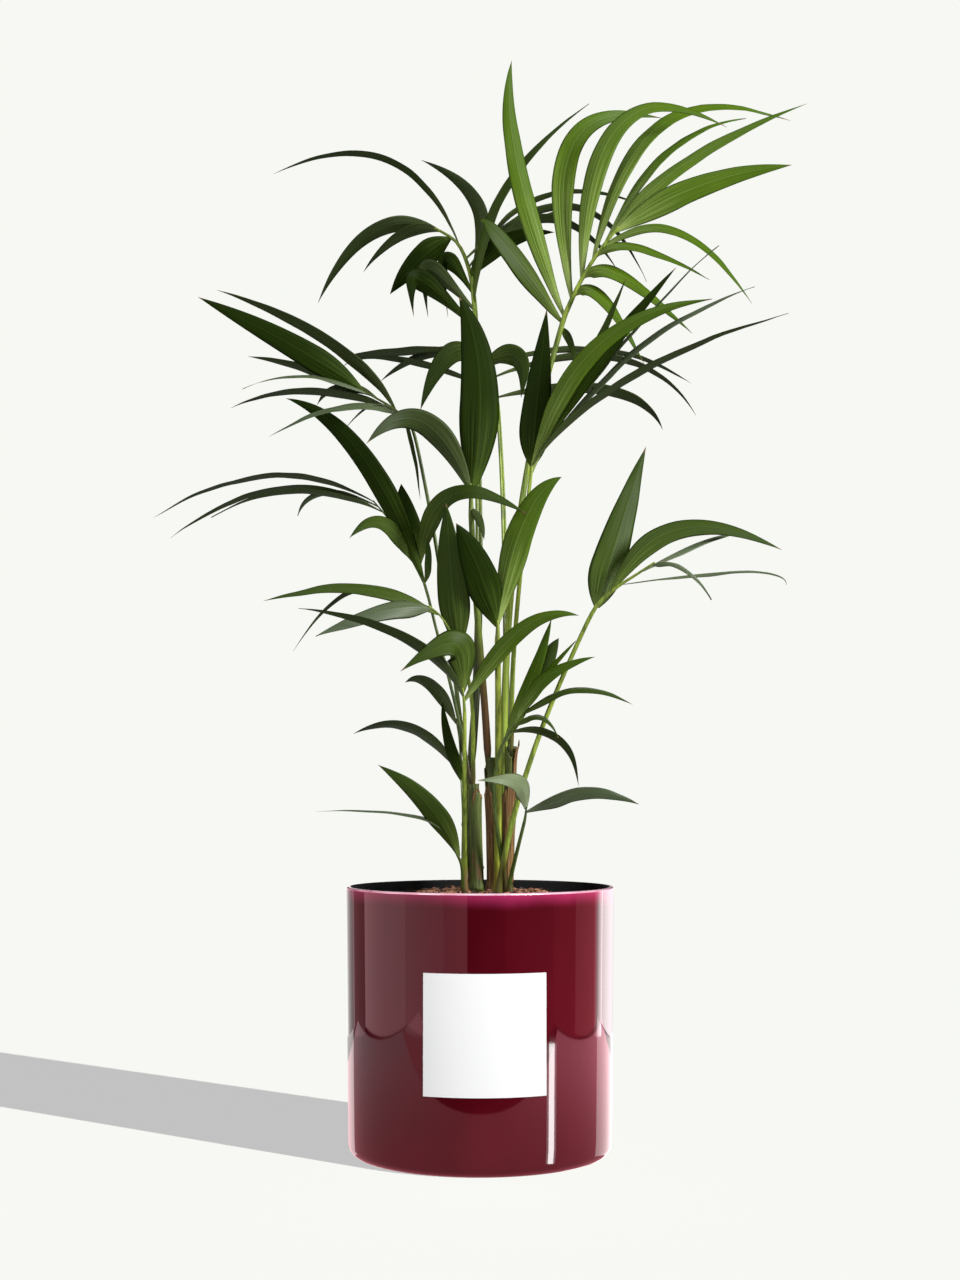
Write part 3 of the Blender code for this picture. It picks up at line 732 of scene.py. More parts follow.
# Where the petiole stands (across, near) or the cane it stands on and its clock angle there; its angles
# at the foot, at the joint of petiole and rib, and at the rib's end; the joint (across, up, near); the
# rib's end from that joint (across, up) and how near it is; its radius at the foot; its green. Each
# leaflet: its green, its place along the rib, its span, rise, bow to the left of its line, where along
# that line its bend has its corner, its width, its roll in degrees, and how near its tip is. A folded
# leaflet adds how tightly it creases. All in millimetres, read in the upright plane through the pot's
# axis from the eye's height.
FRONDS = {
    "a": {
        "foot": (25, -17), "angles": (93, 73, 48), "joint": (74, 745, -5),
        "end": (55, 98, 10), "radius": 3.9, "stalk": "lime",
        "leaflets": [
            ("fresh", 14, -49, 244, 15, 0.7, 22, 20, -20),
            ("fresh", 32, 84, 172, 63, 0.84, 24, 15, -110, 1.3),
            ("fresh", 52, 136, 145, 74, 0.84, 22, 20, -50, 1),
            ("fresh", 70, 187, 136, 68, 0.63, 20, 35, -150, 1.15),
            ("fresh", 90, 134, 122, 25, 0.65, 14, 45, -85),
            ("fresh", 104, 182, 125, 17, 0.35, 18, 30, -15),
            ("fresh", 108, 165, 63, 12, 0.5, 26, 10, 30),
            ("fresh", 86, 140, -52, 40, 0.3, 16, 40, 50),
            ("fresh", 78, 105, -22, 16, 0.1, 16, 40, 35),
            ("fresh", 54, 101, -52, 18, 0, 20, 30, 30),
            ("fresh", 35, 65, -64, 17, -0.1, 18, 30, 25),
            ("leaf", 8, -76, 95, -4, 1.0, 24, 25, 40),
            ("leaf", 3, 14, -36, 3, 0.3, 9, 20, -25),
        ],
    },
    "b": {
        "stem": ("stem_left_back", 60), "angles": (85, 91, 168), "joint": (-4, 740, -70),
        "end": (-38, 102, -105), "radius": 4.0, "stalk": "shaded",
        "leaflets": [
            ("dark", 88, -172, 68, -51, 0.5, 12, 66, -170),
            ("dark", 60, -45, 107, -31, 0.45, 18, 30, -150),
            ("dark", 112, -111, -69, -30, 0.33, 17, 30, -150),
            ("dark", 110, -71, -39, -14, 0.3, 15, 50, -125),
            ("deep", 98, -56, -53, -5, 0.42, 26, 20, -95),
            ("deep", 8, -57, 10, -36, 1.25, 22, 20, -45, 3),
            ("dark", 24, -43, -6, -45, 1.0, 20, 25, -78, 3),
            ("deep", 40, -23, -22, -40, -0.3, 18, 35, -100, 3),
            ("dark", 58, 165, 64, 44, 0.5, 10, 68, -220),
            ("dark", 50, 104, 74, 14, 0.5, 10, 64, -180),
            ("dark", 64, 138, -2, 48, 0.55, 13, 52, -100),
            ("dark", 72, 168, -20, 62, 0.6, 11, 58, -140),
            ("deep", 54, 78, 44, 14, 0.5, 20, 35, -70),
            ("leaf", 30, 107, 191, 28, 0.45, 16, 45, -40),
        ],
    },
    "c": {
        "stem": ("stem_left_back", 200), "angles": (97, 103, 150), "joint": (-60, 646, -10),
        "end": (-51, 44, 0), "radius": 2.4, "stalk": "olive",
        "leaflets": [
            ("deep", 66, -153, 88, -4, 0.4, 25, 10, 60),
            ("dark", 30, -166, 113, -18, 0.4, 16, 50, -60),
            ("dark", 56, -115, 37, -5, 0.5, 14, 55, -30),
            ("dark", 26, -155, 5, -18, 0.56, 13, 66, -95),
            ("grey", 60, -116, 4, -15, 0.54, 12, 65, 40),
            ("grey", 24, -121, -20, -16, 0.3, 16, 48, 85),
            ("dark", 50, -56, -5, -13, 0.7, 12, 60, -70),
            ("grey", 38, -40, -22, -8, 0.3, 10, 60, 45),
            ("dark", 22, 17, -78, 3, 0.25, 12, 68, 5),
        ],
    },
    "d": {
        "stem": ("stem_right_back", 60), "angles": (91, 94, 142), "joint": (17, 666, -90),
        "end": (-25, 62, -105), "radius": 3.0, "stalk": "shaded",
        "leaflets": [
            ("dark", 66, -120, -6, -2, 0.75, 14, 67, -130),
            ("dark", 22, -139, 25, -14, 0.8, 13, 70, -175),
            ("dark", 62, -88, -26, -12, 0.5, 14, 58, -150),
            ("leaf", 64, -50, -54, -16, 0.1, 27, 20, -95),
            ("leaf", 50, 34, -32, 25, 0.3, 22, 20, -75),
            ("dark", 46, 189, -15, 24, 0.6, 12, 70, -200),
            ("dark", 34, 188, -34, 39, 0.65, 13, 65, -150),
            ("dark", 16, 153, -30, 26, 0.8, 16, 55, -100),
        ],
    },
    "e": {
        "stem": ("stem_middle", 150), "angles": (93, 92, 96), "joint": (-8, 572, 40),
        "end": (-1, 30, 44), "radius": 3.6, "stalk": "russet",
        "leaflets": [
            ("deep", 20, -11, 185, -14, 0.65, 38, 5, 55),
            ("dark", 22, -96, 45, -40, 0.8, 24, 20, 95),
            ("dark", 8, 12, -30, 3, 0.3, 10, 30, 60),
        ],
    },
    "f": {
        "stem": ("stem_right", 270), "angles": (91, 84, 70), "joint": (46, 604, 24),
        "end": (8, 38, 26), "radius": 2.4, "stalk": "lime",
        "leaflets": [
            ("deep", 14, 14, 147, 1, 0.3, 30, 5, 20),
            ("fresh", 8, 168, 163, 42, 0.55, 22, 25, 95),
            ("deep", 20, 133, 181, 4, 0.6, 18, 45, 80),
            ("leaf", 24, 86, 168, -4, 0.5, 14, 45, 50),
            ("grey", 18, 206, 164, 22, 0.6, 13, 55, 60),
            ("dark", 12, 238, 145, 25, 0.35, 13, 62, 120),
            ("grey", 28, 171, 194, 6, 0.8, 8, 64, 65),
        ],
    },
    "g": {
        "foot": (16, 33), "angles": (82, 64, 36), "joint": (101, 480, 70),
        "end": (59, 49, 95), "radius": 2.8, "stalk": "lime",
        "leaflets": [
            ("leaf", 10, 46, 148, 1, 0.3, 33, 10, 40),
            ("leaf", 30, 156, 38, 41, 0.42, 22, 25, 60),
            ("grey", 60, 106, 34, 10, 0.8, 14, 68, 20),
            ("grey", 74, 54, -33, 12, 0.3, 15, 60, 140),
            ("grey", 40, 152, 0, 12, 1.0, 10, 68, 110),
        ],
    },
    "h": {
        "stem": ("stem_left", 180), "angles": (98, 104, 132), "joint": (-48, 500, 5),
        "end": (-50, 86, -25), "radius": 2.0, "stalk": "olive",
        "leaflets": [
            ("deep", 12, -127, 170, -24, 0.72, 22, 15, 30),
            ("dark", 98, -203, -14, -31, 0.45, 12, 70, -110),
            ("dark", 92, -191, -28, -30, 0.45, 11, 68, -70),
            ("dark", 86, -158, -4, -21, 0.5, 10, 66, -30),
            ("grey", 95, -73, -10, -18, 0.8, 15, 55, -50),
            ("deep", 34, -12, 70, 2, 0.5, 30, 15, -20),
            ("leaf", 28, -62, 25, -24, 0.8, 20, 35, 45),
            ("leaf", 26, 100, 49, 46, 0.5, 24, 30, 90),
            ("leaf", 10, 2, 44, -2, 0.5, 10, 40, 25),
        ],
    },
    "i": {
        "foot": (16, 12), "angles": (90, 91, 95), "joint": (16, 456, 62),
        "end": (0, 20, 64), "radius": 3.5, "stalk": "gold",
        "leaflets": [
            ("deep", 14, -38, 95, -3, 0.6, 32, 5, 100),
            ("fresh", 18, 59, 134, 15, 0.8, 28, 20, 75),
        ],
    },
    "j": {
        "stem": ("stem_left", 260), "angles": (92, 112, 150), "joint": (-17, 443, 50),
        "end": (-30, 46, 60), "radius": 2.1, "stalk": "lime",
        "leaflets": [
            ("leaf", 6, -12, 135, 1, 0.5, 30, 10, 95),
            ("leaf", 44, -160, 12, -18, 0.4, 18, 45, 90),
            ("grey", 52, -106, -26, -8, 0.3, 20, 25, 115),
            ("dark", 50, -128, -38, -37, 0.5, 10, 65, 60, 2),
        ],
    },
    "k": {
        "foot": (-13, 17), "angles": (91, 90, 98), "joint": (-14, 388, 55),
        "end": (-2, 26, 60), "radius": 2.3, "stalk": "papery",
        "leaflets": [
            ("dark", 16, -151, 83, -23, 0.35, 14, 45, 130),
            ("leaf", 22, -57, 19, -39, 0.25, 33, 25, 100, 1.5),
            ("fresh", 14, 105, 78, 21, 0.75, 19, 30, 110),
        ],
    },
    "l": {
        "foot": (23, 24), "angles": (94, 72, 55), "joint": (18, 356, 60),
        "end": (30, 50, 68), "radius": 2.2, "stalk": "olive",
        "leaflets": [
            ("fresh", 8, 44, 114, -3, 0.5, 17, 35, 75),
            ("leaf", 58, 24, 54, 2, 0.7, 18, 20, 66),
            ("fresh", 50, 44, 58, 3, 0.5, 12, 60, 84),
            ("fresh", 32, 72, 58, 13, 0.5, 16, 42, 100),
            ("leaf", 36, 104, 11, 19, 0.5, 14, 60, 115),
            ("leaf", 24, 43, -9, 15, 0.55, 12, 60, 95),
            ("dark", 18, 64, -47, 22, 0.5, 14, 58, 90),
        ],
    },
    "m": {
        "foot": (-14, 30), "angles": (105, 118, 125), "joint": (-19, 260, 46),
        "end": (-12, 22, 52), "radius": 1.8, "stalk": "olive",
        "leaflets": [
            ("leaf", 1, -73, 83, -10, 0.5, 22, 20, 90, 1.2),
            ("grey", 26, -118, 20, -11, 0.1, 8, 64, 70),
        ],
    },
    "n": {
        "foot": (-15, -12), "angles": (92, 95, 105), "joint": (-16, 322, -12),
        "end": (-6, 64, -36), "radius": 2.1, "stalk": "olive",
        "leaflets": [
            ("dark", 60, -47, 37, -12, 0.85, 16, 35, -85),
            ("dark", 12, -98, 38, -23, 0.6, 16, 50, -100),
            ("deep", 6, -18, 75, 3, 0.5, 14, 35, -5),
        ],
    },
    "o": {
        "foot": (24, 34), "angles": (78, 76, 84), "joint": (40, 292, 60),
        "end": (2, 14, 64), "radius": 2.0, "stalk": "olive",
        "leaflets": [
            ("pale", 12, -44, 26, -16, 0.3, 20, 30, 105, 1.6),
            ("grey", 10, 102, 7, 13, 0.55, 18, 45, 145),
        ],
    },
}


def sighted(place):
    """The real point of a place given as across, near, up: seen there, and that near the eye."""
    across, near, up = place
    shrink = 1 - near / EYE_DISTANCE
    return Vector((across * shrink, -near, EYE_HEIGHT + (up - EYE_HEIGHT) * shrink))


def place_of(point):
    """The across, near, up of a real point."""
    shrink = 1 + point.y / EYE_DISTANCE
    return Vector((point.x / shrink, -point.y, EYE_HEIGHT + (point.z - EYE_HEIGHT) / shrink))


def limb(start, end, start_angle, end_angle, steps):
    """Places of a smooth limb from start to end that leaves and arrives at the given angles."""
    reach = math.hypot(end.x - start.x, end.z - start.z)
    depth = Vector((0, end.y - start.y, 0))
    first, last = math.radians(start_angle), math.radians(end_angle)
    leave = reach * Vector((math.cos(first), 0, math.sin(first))) + depth
    arrive = reach * Vector((math.cos(last), 0, math.sin(last))) + depth
    found = []
    for step in range(steps + 1):
        t = step / steps
        found.append(
            start * (1 + t * t * (2 * t - 3))
            + leave * (t * (1 - t) * (1 - t))
            + end * (t * t * (3 - 2 * t))
            - arrive * (t * t * (1 - t))
        )
    return found


def along(route, distance):
    """The place this far along a route, as seen from the front."""
    for low, high in zip(route, route[1:]):
        step = math.hypot(high.x - low.x, high.z - low.z)
        if distance <= step:
            return low.lerp(high, distance / step)
        distance -= step
    return route[-1].copy()


# For each stalk's green: its shade and light, the colour of its foot, and how far up that reaches. On the
# shaded stalks, that dark foot is painted shade.
stalk_finishes = []
STALK_GREENS = {
    "lime": ((0.060, 0.100, 0.008), (0.260, 0.340, 0.038), (0.080, 0.075, 0.012), 0.16),
    # Painted shade: these stalks rise from the back canes, and their long dark foot stands for shade.
    "shaded": ((0.050, 0.085, 0.008), (0.220, 0.300, 0.034), (0.034, 0.044, 0.007), 0.62),
    "olive": ((0.026, 0.046, 0.006), (0.085, 0.122, 0.020), (0.050, 0.038, 0.012), 0.16),
    "gold": ((0.055, 0.075, 0.007), (0.270, 0.320, 0.036), (0.170, 0.140, 0.018), 0.14),
    "papery": ((0.060, 0.100, 0.008), (0.280, 0.360, 0.044), (0.300, 0.190, 0.080), 0.16),
    "russet": ((0.040, 0.065, 0.008), (0.140, 0.190, 0.028), (0.078, 0.036, 0.010), 0.50),
}
for green, (shade, light, foot_tint_and_shade, foot_reach) in STALK_GREENS.items():
    stalk = Finish(green + " stalk", roughness=0.4, specular_ior_level=0.3)
    run = stalk.node("ShaderNodeAttribute", {"attribute_name": "along"}, output="Fac")
    streak = stalk.cloud(stalk.stretched((620, 620, 10)), 1.0, detail=3)
    band = stalk.cloud(stalk.stretched((150, 150, 9)), 1.0, detail=2)
    freckle = stalk.cloud(stalk.place(), 260, detail=3, roughness=0.7)
    skin = stalk.mix(streak.step(0.3, 0.7) * 0.5 + band.step(0.35, 0.65) * 0.5, shade, light)
    skin = stalk.mix(freckle.step(0.66, 0.78) * 0.5, skin, (0.10, 0.06, 0.02))
    stalk.feed("Base Color", stalk.mix(1 - run.step(foot_reach * 0.3, foot_reach), skin, foot_tint_and_shade))
    stalk.relief(streak, 0.0002)
    stalk_finishes.append(stalk)

# The stalk's section, as (toward its upper side, across it): a round with a channel along the top.
channel_section = [
    (-1.0, 0.0), (-0.88, -0.48), (-0.45, -0.88), (0.05, -1.0), (0.55, -0.84), (0.72, -0.5), (0.5, -0.2),
    (0.42, 0.0), (0.5, 0.2), (0.72, 0.5), (0.55, 0.84), (0.05, 1.0), (-0.45, 0.88), (-0.88, 0.48),
]


def section_source(name, outline, **stored):
    """A closed section for a sweep: x runs toward the sweep's face, y across it."""
    outline = outline[::-1]
    edges = [(index, (index + 1) % len(outline)) for index in range(len(outline))]
    return hidden_source(name, [(x, y, 0) for x, y in outline], edges, **stored)


stalk_section = section_source("stalk_section", channel_section)

sweep_inputs = {"Section": "Object"}


def sweep_start(recipe):
    """Sweeps the section along the source's lines, turned to their stored face and sized by girth."""
    lines = recipe.node("GeometryNodeMeshToCurve", values={"Mesh": recipe.given("Geometry")})
    values = {"Curve": lines, "Normal": recipe.stored("face", "FLOAT_VECTOR")}
    lines = recipe.node("GeometryNodeSetCurveNormal", {"mode": "FREE"}, values)
    values = {"Object": recipe.given("Section")}
    shape = recipe.node("GeometryNodeObjectInfo", values=values, output="Geometry")
    outline = recipe.node("GeometryNodeMeshToCurve", values={"Mesh": shape})
    values = {"Curve": lines, "Profile Curve": outline, "Scale": recipe.stored("girth"), "Fill Caps": True}
    return recipe.node("GeometryNodeCurveToMesh", values=values)


stalk_recipe = Recipe("stalk_sweep", sweep_inputs)
swept_stalk = sweep_start(stalk_recipe)
smooth_stalk = stalk_recipe.node("GeometryNodeSetShadeSmooth", values={"Geometry": swept_stalk})
stalk_recipe.end(smooth_stalk, stalk_finishes, stalk_recipe.stored("green"))


def resampled(route, steps):
    """Evenly spaced points along a smooth curve through the route."""
    path, total = [], [0]
    for index in range(len(route) - 1):
        before, low = route[max(index - 1, 0)], route[index]
        high, after = route[index + 1], route[min(index + 2, len(route) - 1)]
        for step in range(ROUTE_FINENESS):
            t = step / ROUTE_FINENESS
            path.append(
                0.5 * (2 * low + (high - before) * t + (2 * before - 5 * low + 4 * high - after) * t * t
                       + (3 * low - before - 3 * high + after) * t**3)
            )
    path.append(route[-1])
    for low, high in zip(path, path[1:]):
        total.append(total[-1] + (high - low).length)
    found = []
    for step in range(steps + 1):
        wanted = total[-1] * step / steps
        index = min(max(np.searchsorted(total, wanted) - 1, 0), len(path) - 2)
        share = (wanted - total[index]) / max(total[index + 1] - total[index], 1e-9)
        found.append(path[index].lerp(path[index + 1], min(share, 1)))
    return found


ribs = {}
for letter, frond in FRONDS.items():
    radius = frond["radius"] * MM
    first, second, third = frond["angles"]
    across, up, near = [value * MM for value in frond["joint"]]
    joint = Vector((across, near, up))
    end_across, end_up, end_near = [value * MM for value in frond["end"]]
    end = Vector((across + end_across, end_near, up + end_up))
    if "stem" in frond:
        stem, clock = frond["stem"]
        turn = math.radians(clock)
        foot = stem_tops[stem] + Vector((math.cos(turn), math.sin(turn), 0)) * STEM_SPREAD
    else:
        across, near = frond["foot"]
        foot = Vector((across * MM, -near * MM, SOIL_TOP))
    petiole = limb(place_of(foot), joint, first, second, PETIOLE_STEPS)
    ribs[letter] = limb(joint, end, second, third, RACHIS_STEPS)
    coarse = [sighted(place) for place in petiole] + [sighted(place) for place in ribs[letter][1:]]
    route = resampled(coarse, STALK_STEPS)
    route[0].z -= CANE_SINK
    lengths = [(b - a).length for a, b in zip(coarse, coarse[1:])]
    joint_share = sum(lengths[:PETIOLE_STEPS]) / sum(lengths)
    girth, face, share_of = [], [], []
    for index, point in enumerate(route):
        t = index / STALK_STEPS
        if t < joint_share:
            thick = 1 + (JOINT_RADIUS - 1) * t / joint_share
        else:
            thick = JOINT_RADIUS * (1 + (RIB_TIP - 1) * (t - joint_share) / (1 - joint_share))
        if "stem" in frond:
            thick *= min(1, PINCHED_FOOT + t / PINCH_REACH)
        else:
            thick *= 1 + FOOT_BULGE * max(0, 1 - t / BULGE_REACH) ** 2
        girth.append(radius * thick)
        ahead = (route[min(index + 1, STALK_STEPS)] - route[max(index - 1, 0)]).normalized()
        upward = Vector((-point.x, -point.y, 0)) * CHANNEL_LEAN + Vector((0, 0, 1))
        face.append((upward - ahead * upward.dot(ahead)).normalized())
        share_of.append(t)
    edges = [(index, index + 1) for index in range(STALK_STEPS)]
    green = [float(list(STALK_GREENS).index(frond["stalk"]))] * len(route)
    source = hidden_source("stalk_line", route, edges, girth=girth, face=face, along=share_of, green=green)
    stalk_piece = stalk_recipe.make("stalk_" + letter, source, Section=stalk_section)
    bpy.data.objects.remove(source)
    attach(stalk_piece, "root")
    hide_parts("petiole_" + letter)
bpy.data.objects.remove(stalk_section)


# Leaflets
# Each frond carries thin leathery leaflets, folded along a raised midrib and pinched where they join the
# rib. They are swept along their midribs, then creased, rippled and tipped with a dry point.
LEAFLET_STEPS = 34
LEAFLET_NECK = 0.13
LEAFLET_SWELL = 0.36
LEAFLET_POINT = 2.9
BLADE_WALL = 0.035
VEIN_COUNT = 15
TONE_SPREAD = 0.45
TWIST_SPREAD = 14
FOLD_SPREAD = (0.16, 0.34)
TIP_HALF_WIDTH = 0.12 * MM
RIPPLE = 5 * MM
leaf_draw = random.Random(29)

# For each green: its shade, its light, its midrib and underside, which also paints the sheen at the foot,
# and how much it shines. The greens are lit and shaded copies of one leaf green: deep and dark are painted
# shade on blades turned from the light, the brightest is painted light on blades the light falls on full,
# and grey and pale are painted sheen.
LEAF_GREENS = {
    "deep": ((0.0055, 0.0120, 0.0006), (0.0130, 0.0255, 0.0016), (0.048, 0.080, 0.010), 0.03),
    "dark": ((0.0140, 0.0240, 0.0045), (0.0360, 0.0520, 0.0120), (0.090, 0.120, 0.040), 0.10),
    "leaf": ((0.0160, 0.0320, 0.0030), (0.0430, 0.0690, 0.0085), (0.105, 0.150, 0.028), 0.08),
    "fresh": ((0.0280, 0.0640, 0.0018), (0.0730, 0.1230, 0.0060), (0.250, 0.320, 0.095), 0.08),
    "grey": ((0.0320, 0.0480, 0.0190), (0.0700, 0.0930, 0.0440), (0.130, 0.155, 0.085), 0.22),
    "pale": ((0.0800, 0.1050, 0.0480), (0.1400, 0.1750, 0.0900), (0.230, 0.270, 0.150), 0.25),
}
leaf_finishes = []
for green, (shade, light, rib_and_sheen, shine) in LEAF_GREENS.items():
    leaf = Finish(green + " green leaf", specular_ior_level=shine)
    blade = leaf.node("ShaderNodeUVMap", {"uv_map": "blade"})
    across = leaf.node("ShaderNodeSeparateXYZ", values={"Vector": blade}, output="X")
    run = leaf.node("ShaderNodeSeparateXYZ", values={"Vector": blade}, output="Y")
    under = leaf.node("ShaderNodeAttribute", {"attribute_name": "underside"}, output="Fac")
    off_rib = abs(across - 0.5) * 2
    fibre_lay = leaf.node("ShaderNodeMapping", values={"Vector": blade, "Scale": (34, 2.2, 1)})
    fibre = leaf.cloud(fibre_lay, 1.0, detail=4, roughness=0.65)
    streak_lay = leaf.node("ShaderNodeMapping", values={"Vector": blade, "Scale": (52, 1.4, 1)})
    streak = leaf.cloud(streak_lay, 1.0, detail=2)
    mottle = leaf.cloud(leaf.place(), 26, detail=3)
    colour = leaf.mix(fibre.step(0.28, 0.72), shade, light)
    colour = leaf.mix(mottle.step(0.40, 0.72) * 0.45, colour, light)
    tone = leaf.node("ShaderNodeAttribute", {"attribute_name": "tone"}, output="Fac")
    colour = leaf.mix(tone, colour, shade)
    # Painted shade: each blade darkens toward its tip, where it droops away from the light.
    colour = leaf.mix(run.step(0.35, 1.0) * 0.55, colour, shade)
    colour = leaf.mix((1 - off_rib.step(0.02, 0.07)) * 0.14, colour, rib_and_sheen)
    # Painted sheen: pale streaks over the lower half of each blade and its pale foot, in the midrib's
    # colour.
    colour = leaf.mix((1 - run.step(0.04, 0.48)) * streak.step(0.44, 0.66) * 0.8, colour, rib_and_sheen)
    colour = leaf.mix((1 - run.step(0.0, 0.14)) * 0.7, colour, rib_and_sheen)
    colour = leaf.mix(under * 0.3, colour, rib_and_sheen)
    colour = leaf.mix(run.step(0.965, 0.985), colour, (0.12, 0.075, 0.035))
    leaf.feed("Base Color", colour)
    leaf.feed("Roughness", 0.42 + fibre * 0.12)
    pleat = leaf.node("ShaderNodeMath", {"operation": "SINE"}, {0: across * (VEIN_COUNT * math.tau)})
    leaf.relief(pleat * 0.12 + fibre * 0.5, 0.00014, 0.8)
    leaf_finishes.append(leaf)

# The blade's section, from edge to edge over the top with its raised midrib and two soft pleats, and back
# along the underside.
upper = [(0.0, -1.0), (0.9, -0.82), (1.08, -0.6), (1.05, -0.36), (1.14, -0.14), (1.1, -0.05), (1.5, 0.0)]
upper += [(x, -y) for x, y in upper[-2::-1]]
lower = [(-0.7, 0.6), (-1.0, 0.36), (-0.8, 0.14), (-0.9, 0.0), (-0.8, -0.14), (-1.0, -0.36), (-0.7, -0.6)]
blade_outline = [(BLADE_WALL * x, y) for x, y in upper + lower]
blade_section = section_source(
    "blade_section",
    blade_outline,
    across=[y for _, y in blade_outline[::-1]],
    underside=[1.0 if x < 0 else 0.0 for x, _ in blade_outline[::-1]],
)

blade_recipe = Recipe("leaflet_sweep", {**sweep_inputs, "Ripple": "Float", "Seed": "Int"})
blade_shape = sweep_start(blade_recipe)
face_way = blade_recipe.stored("face", "FLOAT_VECTOR")
girth_here = blade_recipe.stored("girth")
off_middle = abs(blade_recipe.stored("across"))
spot = blade_recipe.node("GeometryNodeInputPosition")
ripple_values = {"Vector": spot, "W": blade_recipe.given("Seed"), "Scale": 22.0, "Detail": 1.0}
wave = blade_recipe.node("ShaderNodeTexNoise", {"noise_dimensions": "4D"}, ripple_values)
drop = off_middle ** 1.25 * girth_here * blade_recipe.stored("fold")
lift = (wave - 0.5) * off_middle * off_middle * blade_recipe.given("Ripple")
values = {0: face_way, "Scale": lift - drop}
shift = blade_recipe.node("ShaderNodeVectorMath", {"operation": "SCALE"}, values)
blade_shape = blade_recipe.node("GeometryNodeSetPosition", values={"Geometry": blade_shape, "Offset": shift})
lay_flat = {"X": blade_recipe.stored("across") * 0.5 + 0.5, "Y": blade_recipe.stored("along")}
blade_map = blade_recipe.node("ShaderNodeCombineXYZ", values=lay_flat)
values = {"Geometry": blade_shape, "Name": "blade", "Value": blade_map}
settings = {"data_type": "FLOAT2", "domain": "CORNER"}
blade_shape = blade_recipe.node("GeometryNodeStoreNamedAttribute", settings, values)
blade_shape = blade_recipe.node("GeometryNodeSetShadeSmooth", values={"Geometry": blade_shape})
blade_recipe.end(blade_shape, leaf_finishes, blade_recipe.stored("green"))


def leaflet_route(foot, span, rise, bow, peak, near, crease, steps):
    """Real points along a leaflet's midrib: a straight line bent once, toward one corner."""
    length = math.hypot(span, rise)
    lift = bow * (1 + crease) / crease
    corner = Vector((peak * span - lift * rise / length, 0, peak * rise + lift * span / length))
    reach = Vector((span, 0, rise))
    route = []
    for step in range(steps + 1):
        t = step / steps
        bend, finish = 2 * crease * t * (1 - t), t * t
        total = (1 - t) ** 2 + bend + finish
        place = foot + (bend * corner + finish * reach) / total
        place.y = foot.y + (near - foot.y) * t
        route.append(sighted(place))
    return route


for letter, frond in FRONDS.items():
    points, edges = [], []
    stored = {"girth": [], "face": [], "along": [], "fold": [], "green": [], "tone": []}
    for row in frond["leaflets"]:
        green, place_along, span, rise, bow, peak, wide, roll, near = row[:9]
        crease = row[9] if len(row) > 9 else 1
        foot = along(ribs[letter], place_along * MM)
        route = leaflet_route(foot, span * MM, rise * MM, bow * MM, peak, near * MM, crease, LEAFLET_STEPS)
        tone = leaf_draw.uniform(0, TONE_SPREAD)
        twist = leaf_draw.uniform(-TWIST_SPREAD, TWIST_SPREAD)
        fold = leaf_draw.uniform(*FOLD_SPREAD)
        # The dark blades turn their faces from the lamp, and the others turn them toward it.
        lit = -1 if green in ("deep", "dark") else 1
        middle = LEAFLET_STEPS // 2
        ahead = (route[middle + 1] - route[middle - 1]).normalized()
        level = ahead.cross(Vector((0, 1, 0))).normalized()
        leaning = math.cos(math.radians(roll)) * level + math.sin(math.radians(roll)) * ahead.cross(level)
        tilt = lit if leaning.cross(ahead).z < 0 else -lit
        toward_eye = 1 if level.cross(ahead).y < 0 else -1
        for index, point in enumerate(route):
            t = index / LEAFLET_STEPS
            ahead = (route[min(index + 1, LEAFLET_STEPS)] - route[max(index - 1, 0)]).normalized()
            level = ahead.cross(Vector((0, 1, 0))).normalized()
            over = ahead.cross(level)
            angle = math.radians(roll + twist * (t - 0.4))
            edge = math.cos(angle) * level + tilt * math.sin(angle) * over
            swell = math.sin(0.5 * math.pi * min(1, t / LEAFLET_SWELL))
            half = 0.5 * wide * MM * (LEAFLET_NECK + (1 - LEAFLET_NECK) * swell)
            half *= max(1 - t**LEAFLET_POINT, 0)
            face = toward_eye * edge.cross(ahead).normalized()
            points.append(point)
            stored["girth"].append(max(half, TIP_HALF_WIDTH))
            stored["face"].append(face)
            stored["along"].append(t)
            stored["fold"].append(fold * (1.8 - 1.6 * min(1, t / 0.4)) + 0.2 * fold)
            stored["green"].append(float(list(LEAF_GREENS).index(green)))
            stored["tone"].append(tone)
            if index:
                edges.append((len(points) - 2, len(points) - 1))
    source = hidden_source("leaflet_lines", points, edges, **stored)
    settings = {"Section": blade_section, "Ripple": RIPPLE, "Seed": ord(letter)}
    blades = blade_recipe.make("leaflets_" + letter, source, **settings)
    bpy.data.objects.remove(source)
    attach(blades, "root")
    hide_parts("frond_" + letter)
    "bright_green_blade" if letter in "ai" else "dark_green_blade"
bpy.data.objects.remove(blade_section)


# Floor
# A plain pale studio floor that runs on to the horizon, with no part in the object. It takes the shadow,
# but it neither lights the plant nor shows in the glaze.
FLOOR_SPAN = 60
FLOOR_SHARE = 0.15
floor_white = Finish("studio white", roughness=1.0, specular_ior_level=0.0)
floor_white.feed("Base Color", (FLOOR_SHARE,) * 3)
corners = [(x * FLOOR_SPAN, y * FLOOR_SPAN, 0) for x, y in ((-1, -1), (1, -1), (1, 1), (-1, 1))]
floor = piece_of("studio_floor", corners, [(0, 1, 2, 3)], [floor_white], smooth=False)
floor.visible_glossy = False
floor.visible_diffuse = False


# Light
# One low hard light from the front right throws the pot's shadow over an evenly lit floor. Large soft boxes
# light the plant, and dim upright and lying cards draw the bands in the glaze.
BACKDROP_WHITE = (0.930, 0.939, 0.896)
KEY_TINT = (0.977, 1, 0.892)
KEY_AZIMUTH = 52
KEY_HEIGHT = 15
KEY_BRIGHTNESS = 0.399
EVEN_BRIGHTNESS = 0.540
LAMP_WIDTH = 0.4
PLANT_MIDDLE = Vector((0, 0, 0.45))
WHITE = (1, 1, 1)

